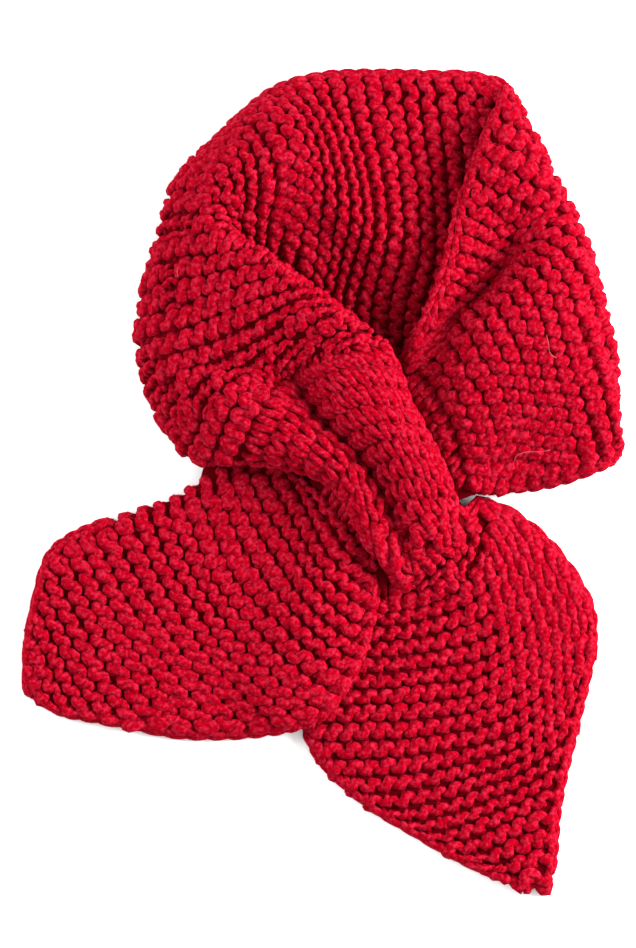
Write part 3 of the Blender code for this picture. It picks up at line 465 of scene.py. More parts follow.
class Cloth:
    """Mid surface of a strip of knitting, in millimetres, read by share of its width and ridge number."""

    def __init__(self, table, crossings=None):
        knots = np.array([row[0] for row in table])
        rows = np.array([across(np.array(row[1:])) for row in table])
        self.ridges = np.arange(knots[0] - 1.0, knots[-1] + 1.0, RIDGE_STEP)
        grid = smooth(rows.reshape(len(rows), -1), knots, self.ridges).reshape(len(self.ridges), -1, 3)
        self.spread(grid - np.array([*CENTRE, 0.0]), np.repeat(self.ridges[:, None], grid.shape[1], axis=1))
        self.groove()
        if crossings is not None:
            crossings = np.array(crossings)
            shares = np.linspace(0.0, 1.0, SHARES)
            numbers = np.arange(crossings[0, 0], crossings[-1, 0], RIDGE_STEP)
            crossed = smooth(crossings[:, 1:], crossings[:, 0], numbers)
            crossed = smooth(crossed.T, np.linspace(0.0, 1.0, crossed.shape[1]), shares).T
            grid = self.read(self.points, shares[None, :], crossed)
            self.ridges = numbers
            self.spread(grid, crossed)
        sideways = np.gradient(self.points, axis=1)
        self.sideways = sideways / np.linalg.norm(sideways, axis=2, keepdims=True)
        onward = np.gradient(self.points, axis=0) / RIDGE_STEP
        normal = np.cross(self.sideways, onward)
        self.pitch = np.linalg.norm(normal, axis=2)
        self.normal = normal / np.maximum(self.pitch, 1e-6)[..., None]

    def groove(self):
        """Sinks the surface along the slot's groove."""
        start, end = GROOVE_RIDGES
        rows = np.nonzero((self.ridges >= start) & (self.ridges <= end))[0]
        places = np.linspace(0.0, len(GROOVE) - 1.0, GROOVE_POINTS)
        line = smooth(np.array(GROOVE), np.arange(len(GROOVE)), places)
        depth = GROOVE_DEPTH * np.sin(np.linspace(0.0, math.pi, GROOVE_POINTS)) ** 0.5
        away = np.linalg.norm(self.points[rows][:, :, None, :2] - line, axis=-1)
        edge = np.clip(np.minimum(self.ridges[rows] - start, end - self.ridges[rows]), 0.0, 1.0)
        self.points[rows, :, 2] -= (depth * np.exp(-(away / GROOVE_HALF) ** 2)).max(axis=2) * edge[:, None]

    def spread(self, grid, crossed):
        """Points at even steps along each section, and the ridges of the table that they lie on."""
        reach = np.linalg.norm(np.diff(grid, axis=1), axis=2)
        along = np.concatenate([np.zeros((len(grid), 1)), np.cumsum(reach, axis=1)], axis=1)
        self.width = along[:, -1]
        self.points = np.empty((len(grid), SHARES, 3))
        self.crossed = np.empty((len(grid), SHARES))
        for row, (section, length) in enumerate(zip(grid, along)):
            places = np.linspace(0.0, 1.0, SHARES) * length[-1]
            for axis in range(3):
                self.points[row, :, axis] = np.interp(places, length, section[:, axis])
            self.crossed[row] = np.interp(places, length, crossed[row])

    def read(self, values, share, ridge):
        """Values of the grid between its points."""
        across_place = np.clip(share, 0.0, 1.0) * (SHARES - 1)
        along_place = np.clip((ridge - self.ridges[0]) / RIDGE_STEP, 0.0, len(self.ridges) - 1.001)
        i = np.minimum(across_place.astype(int), SHARES - 2)
        j = along_place.astype(int)
        p = across_place - i
        q = along_place - j
        if values.ndim == 3:
            p = p[..., None]
            q = q[..., None]
        low = values[j, i] * (1 - p) + values[j, i + 1] * p
        high = values[j + 1, i] * (1 - p) + values[j + 1, i + 1] * p
        return low * (1 - q) + high * q

    def width_at(self, ridge):
        """Length of the section at a ridge."""
        return np.interp(ridge, self.ridges, self.width)

    def at(self, share, ridge):
        """Points and normals; a share past 0 or 1 goes on straight past the edge."""
        point = self.read(self.points, share, ridge)
        over = (share - np.clip(share, 0.0, 1.0)) * self.width_at(ridge)
        point = point + self.read(self.sideways, share, ridge) * over[..., None]
        normal = self.read(self.normal, share, ridge)
        return point, normal / np.maximum(np.linalg.norm(normal, axis=-1, keepdims=True), 1e-9)


CLOTHS = {}


def cloth_of(table, crossings=None):
    """The surface that a section table describes, worked out once."""
    key = (id(table), id(crossings))
    if key not in CLOTHS:
        CLOTHS[key] = Cloth(table, crossings)
    return CLOTHS[key]


# --------------------------------------------------------------------------------------------- settings

class ScarfYarn(bpy.types.PropertyGroup):
    """Sizes of the yarn and its loops."""

    thickness: FloatProperty(name="Yarn thickness", description="Diameter of the relaxed yarn",
                             default=0.0040, min=0.001, max=0.008, unit="LENGTH", precision=4)
    overlap: FloatProperty(name="Loop overlap", description="How far a loop reaches into the next row",
                           default=0.0025, min=0.0, max=0.006, unit="LENGTH", precision=4)
    depth: FloatProperty(name="Loop depth", description="How far a loop swings out of the cloth's middle",
                         default=0.0021, min=0.0, max=0.004, unit="LENGTH", precision=4)
    roundness: FloatProperty(name="Loop roundness", description="How wide a loop's head is against its waist",
                             default=0.125, min=0.0, max=0.25)
    edge_inset: FloatProperty(name="Edge inset", description="From the cloth's edge to the last loop",
                              default=0.0031, min=0.0, max=0.01, unit="LENGTH", precision=4)
    loop_points: IntProperty(name="Points in a loop", description="Points along one loop of yarn",
                             default=14, min=8, max=24)
    unevenness: FloatProperty(name="Unevenness", description="How far hand-knitted loops stray",
                              default=0.00032, min=0.0, max=0.001, unit="LENGTH", precision=5)
    rib_row: FloatProperty(name="Rib row height", description="Height of one elongated stitch of the rib",
                           default=0.0084, min=0.002, max=0.02, unit="LENGTH", precision=4)
    closest_ridges: FloatProperty(name="Closest ridges", description="Ridges nearer than this tuck away",
                                  default=0.0033, min=0.001, max=0.007, unit="LENGTH", precision=4)
    fanned_ridges: FloatProperty(name="Fanned ridges", description="Ridges further apart get one between",
                                 default=0.0100, min=0.007, max=0.03, unit="LENGTH", precision=4)
    loop_lean: FloatProperty(name="Loop lean", description="How far a loop's one side stands out",
                             default=0.35, min=-1.0, max=1.0)
    rib_roundness: FloatProperty(name="Rib spread", description="How far the two sides of a rib stitch open",
                                 default=0.21, min=0.0, max=0.3)
    chain_thickness: FloatProperty(name="Chain thickness", description="Diameter of the edge chain's yarn",
                                   default=0.0030, min=0.001, max=0.006, unit="LENGTH", precision=4)
    hair_thickness: FloatProperty(name="Hair thickness", description="Diameter of a stray hair",
                                  default=0.00022, min=0.00005, max=0.001, unit="LENGTH", precision=5)
    ply_length: FloatProperty(name="Ply length", description="Length of one turn of the plied yarn",
                              default=0.0085, min=0.002, max=0.05, unit="LENGTH", precision=4)


class ScarfWool(bpy.types.PropertyGroup):
    """Colours and finish of the wool."""

    yarn: FloatVectorProperty(name="Yarn", description="Crimson of the yarn", subtype="COLOR",
                              default=(0.235, 0.0, 0.006), min=0.0, max=1.0)
    # Painted shade: the colour of the hollows between the fibres and of the twist's grooves.
    yarn_hollow_shade: FloatVectorProperty(name="Deep yarn", description="Darker dye between the fibres",
                                   subtype="COLOR", default=(0.125, 0.0, 0.003), min=0.0, max=1.0)
    # Painted shade: the inner cloth is coloured much darker than the yarn, standing for the shade between the
    # loops.
    backing: FloatVectorProperty(name="Backing", description="Shaded wool inside the cloth", subtype="COLOR",
                                 default=(0.085, 0.0, 0.002), min=0.0, max=1.0)
    # Painted glints: a brighter colour at random flecks of the yarn, standing for fibre ends that catch the
    # light.
    glint: FloatVectorProperty(name="Flecks", description="Fibre ends that catch the light", subtype="COLOR",
                               default=(0.50, 0.026, 0.066), min=0.0, max=1.0)
    hair: FloatVectorProperty(name="Stray hairs", description="Pale hairs caught on the wool",
                              subtype="COLOR", default=(0.36, 0.07, 0.075), min=0.0, max=1.0)
    bloom: FloatVectorProperty(name="Bloom", description="Tint of the fibres' sheen", subtype="COLOR",
                               default=(1.0, 0.03, 0.13), min=0.0, max=1.0)
    sheen: FloatProperty(name="Sheen", description="Strength of the fibres' sheen",
                         default=0.13, min=0.0, max=1.0)
    roughness: FloatProperty(name="Roughness", description="Roughness of the yarn",
                             default=0.78, min=0.0, max=1.0)


class ScarfStage(bpy.types.PropertyGroup):
    """Floor, lights and camera."""

    floor: FloatVectorProperty(name="Floor", description="Pale floor", subtype="COLOR",
                               default=(0.90, 0.90, 0.905), min=0.0, max=1.0)
    view_height: FloatProperty(name="View height", description="Height of the camera's view at the floor",
                               default=0.3982, min=0.1, max=2.0, unit="LENGTH", precision=4)
    view_x: FloatProperty(name="View middle X", description="Middle of the view, to the right",
                          default=-0.0026, unit="LENGTH", precision=4)
    view_y: FloatProperty(name="View middle Y", description="Middle of the view, up the view",
                          default=0.0015, unit="LENGTH", precision=4)
    distance: FloatProperty(name="Camera distance", description="Camera above the floor",
                            default=3.0, min=0.5, max=10.0, unit="LENGTH")
    key_power: FloatProperty(name="Key light", description="Power of the large soft light", default=101.0,
                             min=0.0, unit="POWER")
    fill_power: FloatProperty(name="Fill light", description="Power of the soft light opposite", default=34.0,
                              min=0.0, unit="POWER")
    sky: FloatProperty(name="Surrounding light", description="Strength of the even light all round",
                       default=1.16, min=0.0)
    brightness: FloatProperty(name="Brightness", description="Exposure of the picture, in stops", default=0.0,
                              min=-4.0, max=4.0)


# ---------------------------------------------------------------------------------------------- helpers

def fresh(name):
    """Removes an object of an earlier run, so that an operator can be called again."""
    old = bpy.data.objects.get(name)
    if old is not None:
        bpy.data.objects.remove(old)


def place(name, mesh, material, node=None):
    """Puts a finished mesh in the scene, riding on the scarf's body."""
    fresh(name)
    piece = bpy.data.objects.new(name, mesh)
    mesh.name = name
    bpy.context.scene.collection.objects.link(piece)
    mesh.materials.append(material)
    mesh.polygons.foreach_set("use_smooth", np.ones(len(mesh.polygons), bool))
    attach(piece, BODY)
    if node is not None:
        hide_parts(node)
    return piece


def grid_mesh(name, columns, rows, size):
    """A flat grid of faces."""
    grid = bmesh.new()
    bmesh.ops.create_grid(grid, x_segments=columns, y_segments=rows, size=size)
    mesh = bpy.data.meshes.new(name)
    grid.to_mesh(mesh)
    grid.free()
    return mesh


def tubes(name, paths, thickness):
    """Yarn along open paths, in metres. A path is an array of points and their share of the thickness.

    The UV map runs round the yarn, and along it in metres.
    """
    curve = bpy.data.curves.new(name + "_path", "CURVE")
    curve.dimensions = "3D"
    curve.bevel_depth = thickness / 2
    curve.bevel_resolution = 2
    curve.use_fill_caps = False
    for path, shares in paths:
        spline = curve.splines.new("POLY")
        spline.points.add(len(path) - 1)
        spline.points.foreach_set("co", np.column_stack([path, np.ones(len(path))]).ravel())
        spline.points.foreach_set("radius", np.asarray(shares, np.float32))
    holder = bpy.data.objects.new(name + "_path", curve)
    bpy.context.scene.collection.objects.link(holder)
    bpy.context.view_layer.update()
    mesh = bpy.data.meshes.new_from_object(holder.evaluated_get(bpy.context.evaluated_depsgraph_get()))
    bpy.data.objects.remove(holder)
    bpy.data.curves.remove(curve)

    points = sum(len(path) for path, _ in paths)
    sides = len(mesh.vertices) // points
    if sides * points != len(mesh.vertices):
        raise RuntimeError(f"{name}: the yarn's rings don't match its points")
    along = []
    for number, (path, _) in enumerate(paths):
        steps = np.linalg.norm(np.diff(path, axis=0), axis=1)
        along.append(np.concatenate([[0.0], np.cumsum(steps)]) + TWIST_SHIFT * number)
    along = np.concatenate(along)
    corners = np.empty(len(mesh.loops), np.int32)
    mesh.loops.foreach_get("vertex_index", corners)
    around = (corners % sides) / sides
    faces = around.reshape(-1, 4)
    # The faces that close a ring run on past one turn, instead of back to its start.
    faces[((faces.max(axis=1) - faces.min(axis=1)) > 0.5)[:, None] & (faces < 0.25)] += 1.0
    wrap = np.column_stack([faces.ravel(), along[corners // sides]])
    mesh.uv_layers[0].data.foreach_set("uv", wrap.astype(np.float32).ravel())

    cut = bmesh.new()
    cut.from_mesh(mesh)
    bmesh.ops.holes_fill(cut, edges=[edge for edge in cut.edges if edge.is_boundary], sides=sides)
    cut.to_mesh(mesh)
    cut.free()
    return mesh


def laid(points, radius):
    """Keeps yarn of a radius on the surface that the scarf lies on, and turns millimetres to metres."""
    points[:, 2] = np.maximum(points[:, 2], radius)
    return points / 1000.0


# ------------------------------------------------------------------------------------------------ loops

def clear_of_hole(path):
    """The parts of a path that stay clear of the gap at the foot of the slot."""
    points, share = path
    clear = np.linalg.norm(points[:, :2] * 1000 - np.array(HOLE), axis=1) > HOLE_RADIUS
    borders = np.flatnonzero(np.diff(clear)) + 1
    return [(part, shares) for part, shares, kept in
            zip(np.split(points, borders), np.split(share, borders), np.split(clear, borders))
            if kept[0] and len(kept) > 2]


class Knitter:
    """Paths of the loops in one stretch, in millimetres."""

    def __init__(self, stretch, yarn):
        self.name, table, self.first, self.last, self.stitch, self.most, self.narrowest, _ = stretch
        self.cloth = self.plain = cloth_of(table)
        self.yarn = yarn
        self.inset = yarn.edge_inset * 1000
        self.overlap = yarn.overlap * 1000
        self.depth = yarn.depth * 1000
        self.stray = yarn.unevenness * 1000
        self.closest = yarn.closest_ridges * 1000
        self.fanned = yarn.fanned_ridges * 1000
        self.rib_row = yarn.rib_row * 1000
        self.chance = np.random.default_rng(SEED + int(self.first * 10))

    def wales(self, ridge):
        """Where the loops of a row begin and end, in loops from the strip's middle, and one loop's width."""
        length = max(self.cloth.width_at(ridge) - 2 * self.inset, NARROWEST_ROW)
        count = max(min(self.most, length / self.narrowest), 1.0)
        half = count / 2
        inner = np.arange(-math.ceil(half), math.ceil(half) + 1)
        inner = inner[np.abs(inner) < half - NARROWEST_LOOP]
        return np.concatenate([[-half], inner, [half]]), length / count

    def loops(self, cuts, width, turn, centre, tall, fat, legs_up):
        """One run of loops: across in mm from the middle, along in ridges, out in mm, share of thickness."""
        swing = np.arange(self.yarn.loop_points + 1) / self.yarn.loop_points * 2 * math.pi
        wide = np.diff(cuts)[:, None]
        stray = self.chance.normal(0.0, self.stray, (len(wide), 4))
        size = 1 + UNEVEN_SIZE * stray
        roundness = self.yarn.rib_roundness if legs_up else self.yarn.roundness
        across = (cuts[:-1, None] + wide * swing / (2 * math.pi)
                  + wide * roundness * size[:, :1] * np.sin(2 * swing)) * width + stray[:, 1:2]
        along = centre[:, None] - (tall * size[:, 2])[:, None] / 2 * np.cos(swing)
        depth = self.depth * size[:, 3:]
        if legs_up:
            out = -turn * depth * np.cos(2 * swing)
            share = fat[:, None] * (RIB_SHARES[0] + RIB_SHARES[1] * np.sin(swing) ** 2)
        else:
            out = depth * (-turn * np.tanh(FACE_TURN * np.cos(swing)) + self.yarn.loop_lean * np.sin(swing))
            share = fat[:, None] * (LOOP_SHARES[0] + LOOP_SHARES[1] * np.cos(swing) ** 2)
        return [np.append(values[:, :-1].ravel(), values[-1, -1]) for values in (across, along, out, share)]

    def edge(self, run, side, onward):
        """Adds the yarn's turn round the cloth's edge, half way to the row that follows or the one before."""
        across, along, out, share = run
        end = -1 if side > 0 else 0
        turned = ((across, across[end] + side * EDGE_OUT),
                  (along, along[end] + (onward - along[end]) * EDGE_ON),
                  (out, out[end] * EDGE_DEPTH),
                  (share, np.repeat(share[end], 2)))
        if side > 0:
            return [np.append(old, new) for old, new in turned]
        return [np.append(new[::-1], old) for old, new in turned]

    def path(self, run):
        """Points of a run on the cloth, in metres, and the yarn's share of its thickness."""
        across, along, out, share = run
        point, normal = self.cloth.at(0.5 + across / self.cloth.width_at(along), along)
        share[[0, -1]] *= RUN_END
        return laid(point + normal * out[:, None], self.yarn.thickness * 500), share

    def runs(self, cuts, width, keep, turn, centre, tall, fat, legs_up, turns=(0.0, 0.0)):
        """The unbroken runs of one row."""
        found = []
        borders = np.flatnonzero(np.diff([0, *keep, 0]))
        for start, stop in zip(borders[::2], borders[1::2]):
            part = slice(start, stop)
            run = self.loops(cuts[start:stop + 1], width, turn, centre[part], tall[part], fat[part], legs_up)
            if not legs_up and stop == len(keep):
                run = self.edge(run, 1, centre[-1] + turn * turns[1])
            if not legs_up and start == 0:
                run = self.edge(run, -1, centre[0] - turn * turns[0])
            found.extend(clear_of_hole(self.path(run)))
        return found

    def garter(self):
        """Two rows of garter stitch for each ridge. Where the cloth is gathered, some ridges tuck away, and
        where it fans out, a ridge is worked between two others."""
        self.cloth = cloth_of(STRIP, RIDGES[self.name])
        paths = []
        drawn = {}
        ridges = self.cloth.ridges
        for number in np.arange(ridges[0] + ROW_MARGIN, ridges[-1] - ROW_MARGIN, QUARTER):
            cuts, width = self.wales(number)
            middles = (cuts[:-1] + cuts[1:]) / 2
            here = np.full(len(middles), number)
            share = 0.5 + middles * width / self.cloth.width_at(number)
            centre, _ = self.cloth.at(share, here)
            pitch = np.maximum(self.cloth.read(self.cloth.pitch, share, here), LEAST_PITCH)
            dense = np.where(pitch > self.fanned, np.where(pitch > 2 * self.fanned, 4.0, 2.0), 1.0)
            # As many ridges have to fan out of one before a row may lie at this quarter.
            needed = {0.0: 1, 0.5: 2}.get(number % 1, 4)
            keep = np.zeros(len(middles), bool)
            reach = np.array(pitch)
            for place, wale in enumerate(np.floor(middles).astype(int)):
                if dense[place] < needed:
                    continue
                before = drawn.get(wale)
                if before is not None:
                    reach[place] = np.linalg.norm(centre[place] - before)
                if before is None or reach[place] >= self.closest:
                    keep[place] = True
                    drawn[wale] = centre[place]
            reach = np.clip(reach, *REACHES)
            tall = (reach / RIDGE_PITCH) ** CROWDING * (RIDGE_PITCH / 2 + self.overlap) / pitch
            size = np.minimum(reach, width + WIDTH_SLACK) / STITCH
            fat = np.clip(np.where(size < 1.0, size ** THINNING, size), *FATNESS)
            for turn in (1, -1):
                ridge = number - QUARTER * turn / dense
                table_ridge = self.cloth.read(self.cloth.crossed, share, ridge)
                inside = keep & (self.first <= table_ridge) & (table_ridge < self.last)
                paths.extend(self.runs(cuts, width, inside, turn, ridge, tall, fat, False,
                                       (QUARTER / dense[0], QUARTER / dense[-1])))
        return paths

    def rib(self, face):
        """Rows of long knit stitches, their legs out on one face. Where they fan out, they are halved."""
        self.cloth = self.plain
        places = np.linspace(self.first, self.last, RIB_PLACES)
        pitch = np.mean([self.cloth.read(self.cloth.pitch, np.full(RIB_PLACES, share), places)
                         for share in RIB_COLUMNS], axis=0)
        lengths = np.concatenate([[0.0], np.cumsum((pitch[1:] + pitch[:-1]) / 2 * np.diff(places))])
        rows = max(1, round(lengths[-1] / self.rib_row))
        borders = np.interp(np.linspace(0.0, lengths[-1], rows + 1), lengths, places)
        paths = []
        for low, high in zip(borders[:-1], borders[1:]):
            middle = (low + high) / 2
            cuts, width = self.wales(middle)
            every = np.ones(len(cuts) - 1)
            share = 0.5 + (cuts[:-1] + cuts[1:]) / 2 * width / self.cloth.width_at(middle)
            height = self.cloth.read(self.cloth.pitch, share, every * middle) * (high - low)
            fanned = height > LONGEST_RIB * self.rib_row
            fat = every * width / STITCH
            for chosen, parts in ((~fanned, 1), (fanned, 2)):
                length = (high - low) / parts
                tall = every * length * (1 + self.overlap / RIB_OVERLAP)
                for part in range(parts):
                    centre = every * (low + (part + 0.5) * length)
                    paths.extend(self.runs(cuts, width, chosen, face, centre, tall, fat, True))
        return paths

    def knit(self):
        """All paths of the stretch. The slot's front layer starts in garter stitch."""
        if self.stitch == "garter":
            return self.garter()
        if self.name != "slot_front":
            return self.rib(-1)
        end, self.last = self.last, MOUTH
        paths = self.garter()
        self.first, self.last = MOUTH, end
        return paths + self.rib(1)


# -------------------------------------------------------------------------------------------- materials

def node_group(name, inputs, output):
    """A shader node group, what it is given and where its result goes; the last two only when it is new."""
    old = bpy.data.node_groups.get(name)
    if old is not None:
        return old, None, None
    group = bpy.data.node_groups.new(name, "ShaderNodeTree")
    for label, value in inputs.items():
        kind = "NodeSocketVector" if value is None else "NodeSocketFloat"
        socket = group.interface.new_socket(name=label, in_out="INPUT", socket_type=kind)
        if value is not None:
            socket.default_value = value
    group.interface.new_socket(name=output, in_out="OUTPUT", socket_type="NodeSocketFloat")
    return group, group.nodes.new("NodeGroupInput").outputs, group.nodes.new("NodeGroupOutput").inputs[output]


def fill(tree, node, inputs):
    """Links a node's inputs to sockets, or sets them to values."""
    for label, value in inputs.items():
        if isinstance(value, bpy.types.NodeSocket):
            tree.links.new(value, node.inputs[label])
        else:
            node.inputs[label].default_value = value


def add_node(tree, kind, inputs, **settings):
    """The outputs of a new node."""
    node = tree.nodes.new(kind)
    for name, value in settings.items():
        setattr(node, name, value)
    fill(tree, node, inputs)
    return node.outputs


def math_node(tree, operation, *values):
    """The result of a math node on sockets and values."""
    return add_node(tree, "ShaderNodeMath", dict(enumerate(values)), operation=operation)[0]


def ply_group():
    """Height of a plied yarn's twist."""
    group, given, height = node_group(
        "Plied twist", {"Round And Along": None, "Plies": 4.0, "Turn Length": 0.01}, "Height")
    if given is not None:
        split = add_node(group, "ShaderNodeSeparateXYZ", {0: given["Round And Along"]})
        turns = math_node(group, "DIVIDE", split["Y"], given["Turn Length"])
        phase = math_node(group, "ADD", split["X"], turns)
        wave = math_node(group, "MULTIPLY", phase, given["Plies"])
        ridge = math_node(group, "SINE", math_node(group, "MULTIPLY", wave, math.pi))
        group.links.new(math_node(group, "ABSOLUTE", ridge), height)
    return group


def fibre_group():
    """Height of the fine fibres and soft lumps of spun wool; the colour is painted darker where it is low, as
    painted shade between them.
    """
    group, given, height = node_group(
        "Wool fibres", {"Vector": None, "Fibre Scale": 1000.0, "Lump Scale": 300.0}, "Height")
    if given is not None:
        fibres = add_node(group, "ShaderNodeTexNoise", {
            "Vector": given["Vector"], "Scale": given["Fibre Scale"],
            "Detail": 3.0, "Roughness": 0.65, "Distortion": 1.5})
        lumps = add_node(group, "ShaderNodeTexNoise", {
            "Vector": given["Vector"], "Scale": given["Lump Scale"], "Detail": 2.0})
        group.links.new(math_node(group, "ADD", math_node(group, "MULTIPLY", fibres["Fac"], FIBRE_SHARE),
                                  math_node(group, "MULTIPLY", lumps["Fac"], 1 - FIBRE_SHARE)), height)
    return group


def glint_group():
    """Mask of the small flecks of painted glint, where fibre ends would catch the light."""
    group, given, mask = node_group(
        "Fibre flecks", {"Vector": None, "Scale": 1000.0, "Least": 0.5, "Most": 1.0}, "Mask")
    if given is not None:
        noise = add_node(group, "ShaderNodeTexNoise", {
            "Vector": given["Vector"], "Scale": given["Scale"], "Detail": 1.0})
        spread = add_node(group, "ShaderNodeMapRange", {
            "Value": noise["Fac"], "From Min": given["Least"], "From Max": given["Most"]})
        group.links.new(spread["Result"], mask)
    return group


def wool_material(name, light, hollow_shade, ply_length=None):
    """Spun wool: colour that varies at random and, as painted shade, is darker in the fibres' hollows; fine
    fibres and, where it has a ply length, a yarn's twist with its grooves painted darker, and flecks of
    painted glint.
    """
    material = bpy.data.materials.get(name)
    if material is not None:
        return material
    wool = bpy.context.scene.scarf_wool
    material = bpy.data.materials.new(name)
    material.use_nodes = True
    tree = material.node_tree
    shader = next(node for node in tree.nodes if node.type == "BSDF_PRINCIPLED")
    where = add_node(tree, "ShaderNodeTexCoord", {})
    fibres = add_node(tree, "ShaderNodeGroup", {
        "Vector": where["Object"], "Fibre Scale": 1300.0, "Lump Scale": 330.0}, node_tree=fibre_group())
    fibres = fibres["Height"]
    relief = math_node(tree, "MULTIPLY", fibres, FIBRE_RELIEF)
    shade, glint, sheen = fibres, light, PLAIN_SHEEN
    if ply_length is not None:
        twist = add_node(tree, "ShaderNodeGroup", {
            "Round And Along": where["UV"], "Plies": 4.0, "Turn Length": ply_length}, node_tree=ply_group())
        twist = math_node(tree, "MULTIPLY", twist["Height"], TWIST_SHARE)
        relief = math_node(tree, "ADD", relief, twist)
        shade = math_node(tree, "ADD", math_node(tree, "MULTIPLY", fibres, FIBRE_SHADE), twist)
        glint, sheen = wool.glint, wool.sheen
    # Painted shade: the colour runs from the hollow shade where the relief is low to the yarn's own colour
    # where it is high.
    spread = add_node(tree, "ShaderNodeMapRange", {"Value": shade, "From Min": 0.26, "From Max": 0.64})
    tint = add_node(tree, "ShaderNodeMix", {
        "Factor": spread["Result"], "A": (*hollow_shade, 1.0), "B": (*light, 1.0)}, data_type="RGBA")
    # Painted glints: random flecks take the brighter glint colour.
    glints = add_node(tree, "ShaderNodeGroup", {
        "Vector": where["Object"], "Scale": 600.0, "Least": 0.45, "Most": 1.35}, node_tree=glint_group())
    lit = add_node(tree, "ShaderNodeMix", {
        "Factor": glints["Mask"], "A": tint["Result"], "B": (*glint, 1.0)}, data_type="RGBA")
    bump = add_node(tree, "ShaderNodeBump", {"Strength": 0.45, "Distance": 0.0006, "Height": relief})
    fill(tree, shader, {
        "Base Color": lit["Result"], "Normal": bump["Normal"], "Roughness": wool.roughness,
        "Specular IOR Level": 0.01, "Sheen Weight": sheen, "Sheen Roughness": 0.30,
        "Sheen Tint": (*wool.bloom, 1.0)})
    return material


def yarn_material():
    """The wool of every loop and chain."""
    scene = bpy.context.scene
    return wool_material("Crimson yarn", scene.scarf_wool.yarn, scene.scarf_wool.yarn_hollow_shade,
                         scene.scarf_yarn.ply_length)


def plain_material(name, colour, hollow_shade_share):
    """Wool with no twist, whose painted shade between the fibres is a share of its colour."""
    return wool_material(name, colour, tuple(hollow_shade_share * channel for channel in colour))


# -------------------------------------------------------------------------------------------- operators

class SCARF_OT_knit(bpy.types.Operator):
    """Knits every stretch of the scarf loop by loop"""
    bl_idname = "scarf.knit"
    bl_label = "Knit the stretches"

    def execute(self, context):
        yarn = context.scene.scarf_yarn
        for stretch in STRETCHES:
            name = stretch[0]
            mesh = tubes(name + "_yarn", Knitter(stretch, yarn).knit(), yarn.thickness)
            place(name + "_yarn", mesh, yarn_material(), name)
        return {"FINISHED"}


def chain_loops(numbers, yarn):
    """One strand of a chain with a loop at each number: how far along, beside its middle and out of it."""
    swing = np.linspace(0.0, math.pi, yarn.loop_points // 2 + 2)
    along = (numbers[:, None] - CHAIN_REACH * np.cos(swing)).ravel()
    wide = (swing / (2 * math.pi) - 0.5 + CHAIN_SPREAD * np.sin(2 * swing)) * CHAIN_WIDTH
    return along, np.tile(wide, len(numbers)), np.tile(-CHAIN_DEPTH * np.cos(2 * swing), len(numbers))


def strands(point, normal, outward, lean, out, wide, yarn):
    """Both mirrored strands of a chain, leaning over the cloth's edge, in metres."""
    facing = outward * np.cos(lean)[:, None] + normal * np.sin(lean)[:, None]
    beside = normal * np.cos(lean)[:, None] - outward * np.sin(lean)[:, None]
    paths = []
    for mirror in (1, -1):
        strand = point + facing * (out - CHAIN_SUNK)[:, None] + beside * (mirror * wide)[:, None]
        paths.append((laid(strand, yarn.chain_thickness * 500), np.ones(len(strand))))
    return paths


def chain_paths(side, first, last, face_first, face_last, yarn):
    """The strands of a chain along one of the strip's long edges."""
    cloth = cloth_of(STRIP)
    along, wide, out = chain_loops(np.arange(math.ceil(first), math.floor(last) + 1), yarn)
    part = np.clip((along - FOLD_OVER[0]) / (FOLD_OVER[1] - FOLD_OVER[0]), 0.0, 1.0)
    lean = (face_first + (face_last - face_first) * part) * math.pi / 4
    share = np.full(len(along), float(side))
    point, normal = cloth.at(share, along)
    outward = cloth.read(cloth.sideways, share, along) * (1 if side else -1)
    return strands(point, normal, outward, lean, out, wide, yarn)


def end_chain_paths(ridge, way, face, yarn):
    """The strands of the chain that finishes one end of the scarf."""
    cloth = cloth_of(STRIP)
    length = cloth.width_at(ridge)
    along, wide, out = chain_loops(np.arange(0.5, length / CHAIN_STITCH - CHAIN_LAST), yarn)
    share = along * CHAIN_STITCH / length
    ends = np.full(len(share), ridge)
    point, normal = cloth.at(share, ends)
    outward = point - cloth.at(share, ends - CHAIN_BACK * way)[0]
    outward = outward / np.linalg.norm(outward, axis=1, keepdims=True)
    return strands(point, normal, outward, np.full(len(share), face * math.pi / 4), out, wide, yarn)


class SCARF_OT_chains(bpy.types.Operator):
    """Works the slip-stitch chain along the scarf's visible edges"""
    bl_idname = "scarf.chains"
    bl_label = "Chain the edges"

    def execute(self, context):
        yarn = context.scene.scarf_yarn
        for chains, work in ((CHAINS, chain_paths), (END_CHAINS, end_chain_paths)):
            for name, _, *route in chains:
                place(name, tubes(name, work(*route, yarn), yarn.chain_thickness), yarn_material())
        return {"FINISHED"}


class SCARF_OT_hairs(bpy.types.Operator):
    """Lets a few stray hairs lie on the wool"""
    bl_idname = "scarf.hairs"
    bl_label = "Add stray hairs"

    def execute(self, context):
        scene = context.scene
        cloth = cloth_of(STRIP)
        paths = []
        for first, last, corners in HAIRS:
            rows = cloth.points[(cloth.ridges >= first) & (cloth.ridges < last)].reshape(-1, 3)
            spots = smooth(np.array(corners), np.arange(len(corners)),
                           np.linspace(0.0, len(corners) - 1.0, HAIR_POINTS))
            near = [np.linalg.norm(rows[:, :2] - spot, axis=1) < HAIR_NEAR for spot in spots]
            heights = [rows[here, 2].max() for here in near]
            path = np.column_stack([spots, np.array(heights) + HAIR_HEIGHT])
            path[[0, -1], 2] -= HAIR_DROP
            paths.append((path / 1000, np.ones(len(path))))
        place("stray_hairs", tubes("stray_hairs", paths, scene.scarf_yarn.hair_thickness),
              plain_material("Pale hair", scene.scarf_wool.hair, hollow_shade_share=0.7))
        return {"FINISHED"}


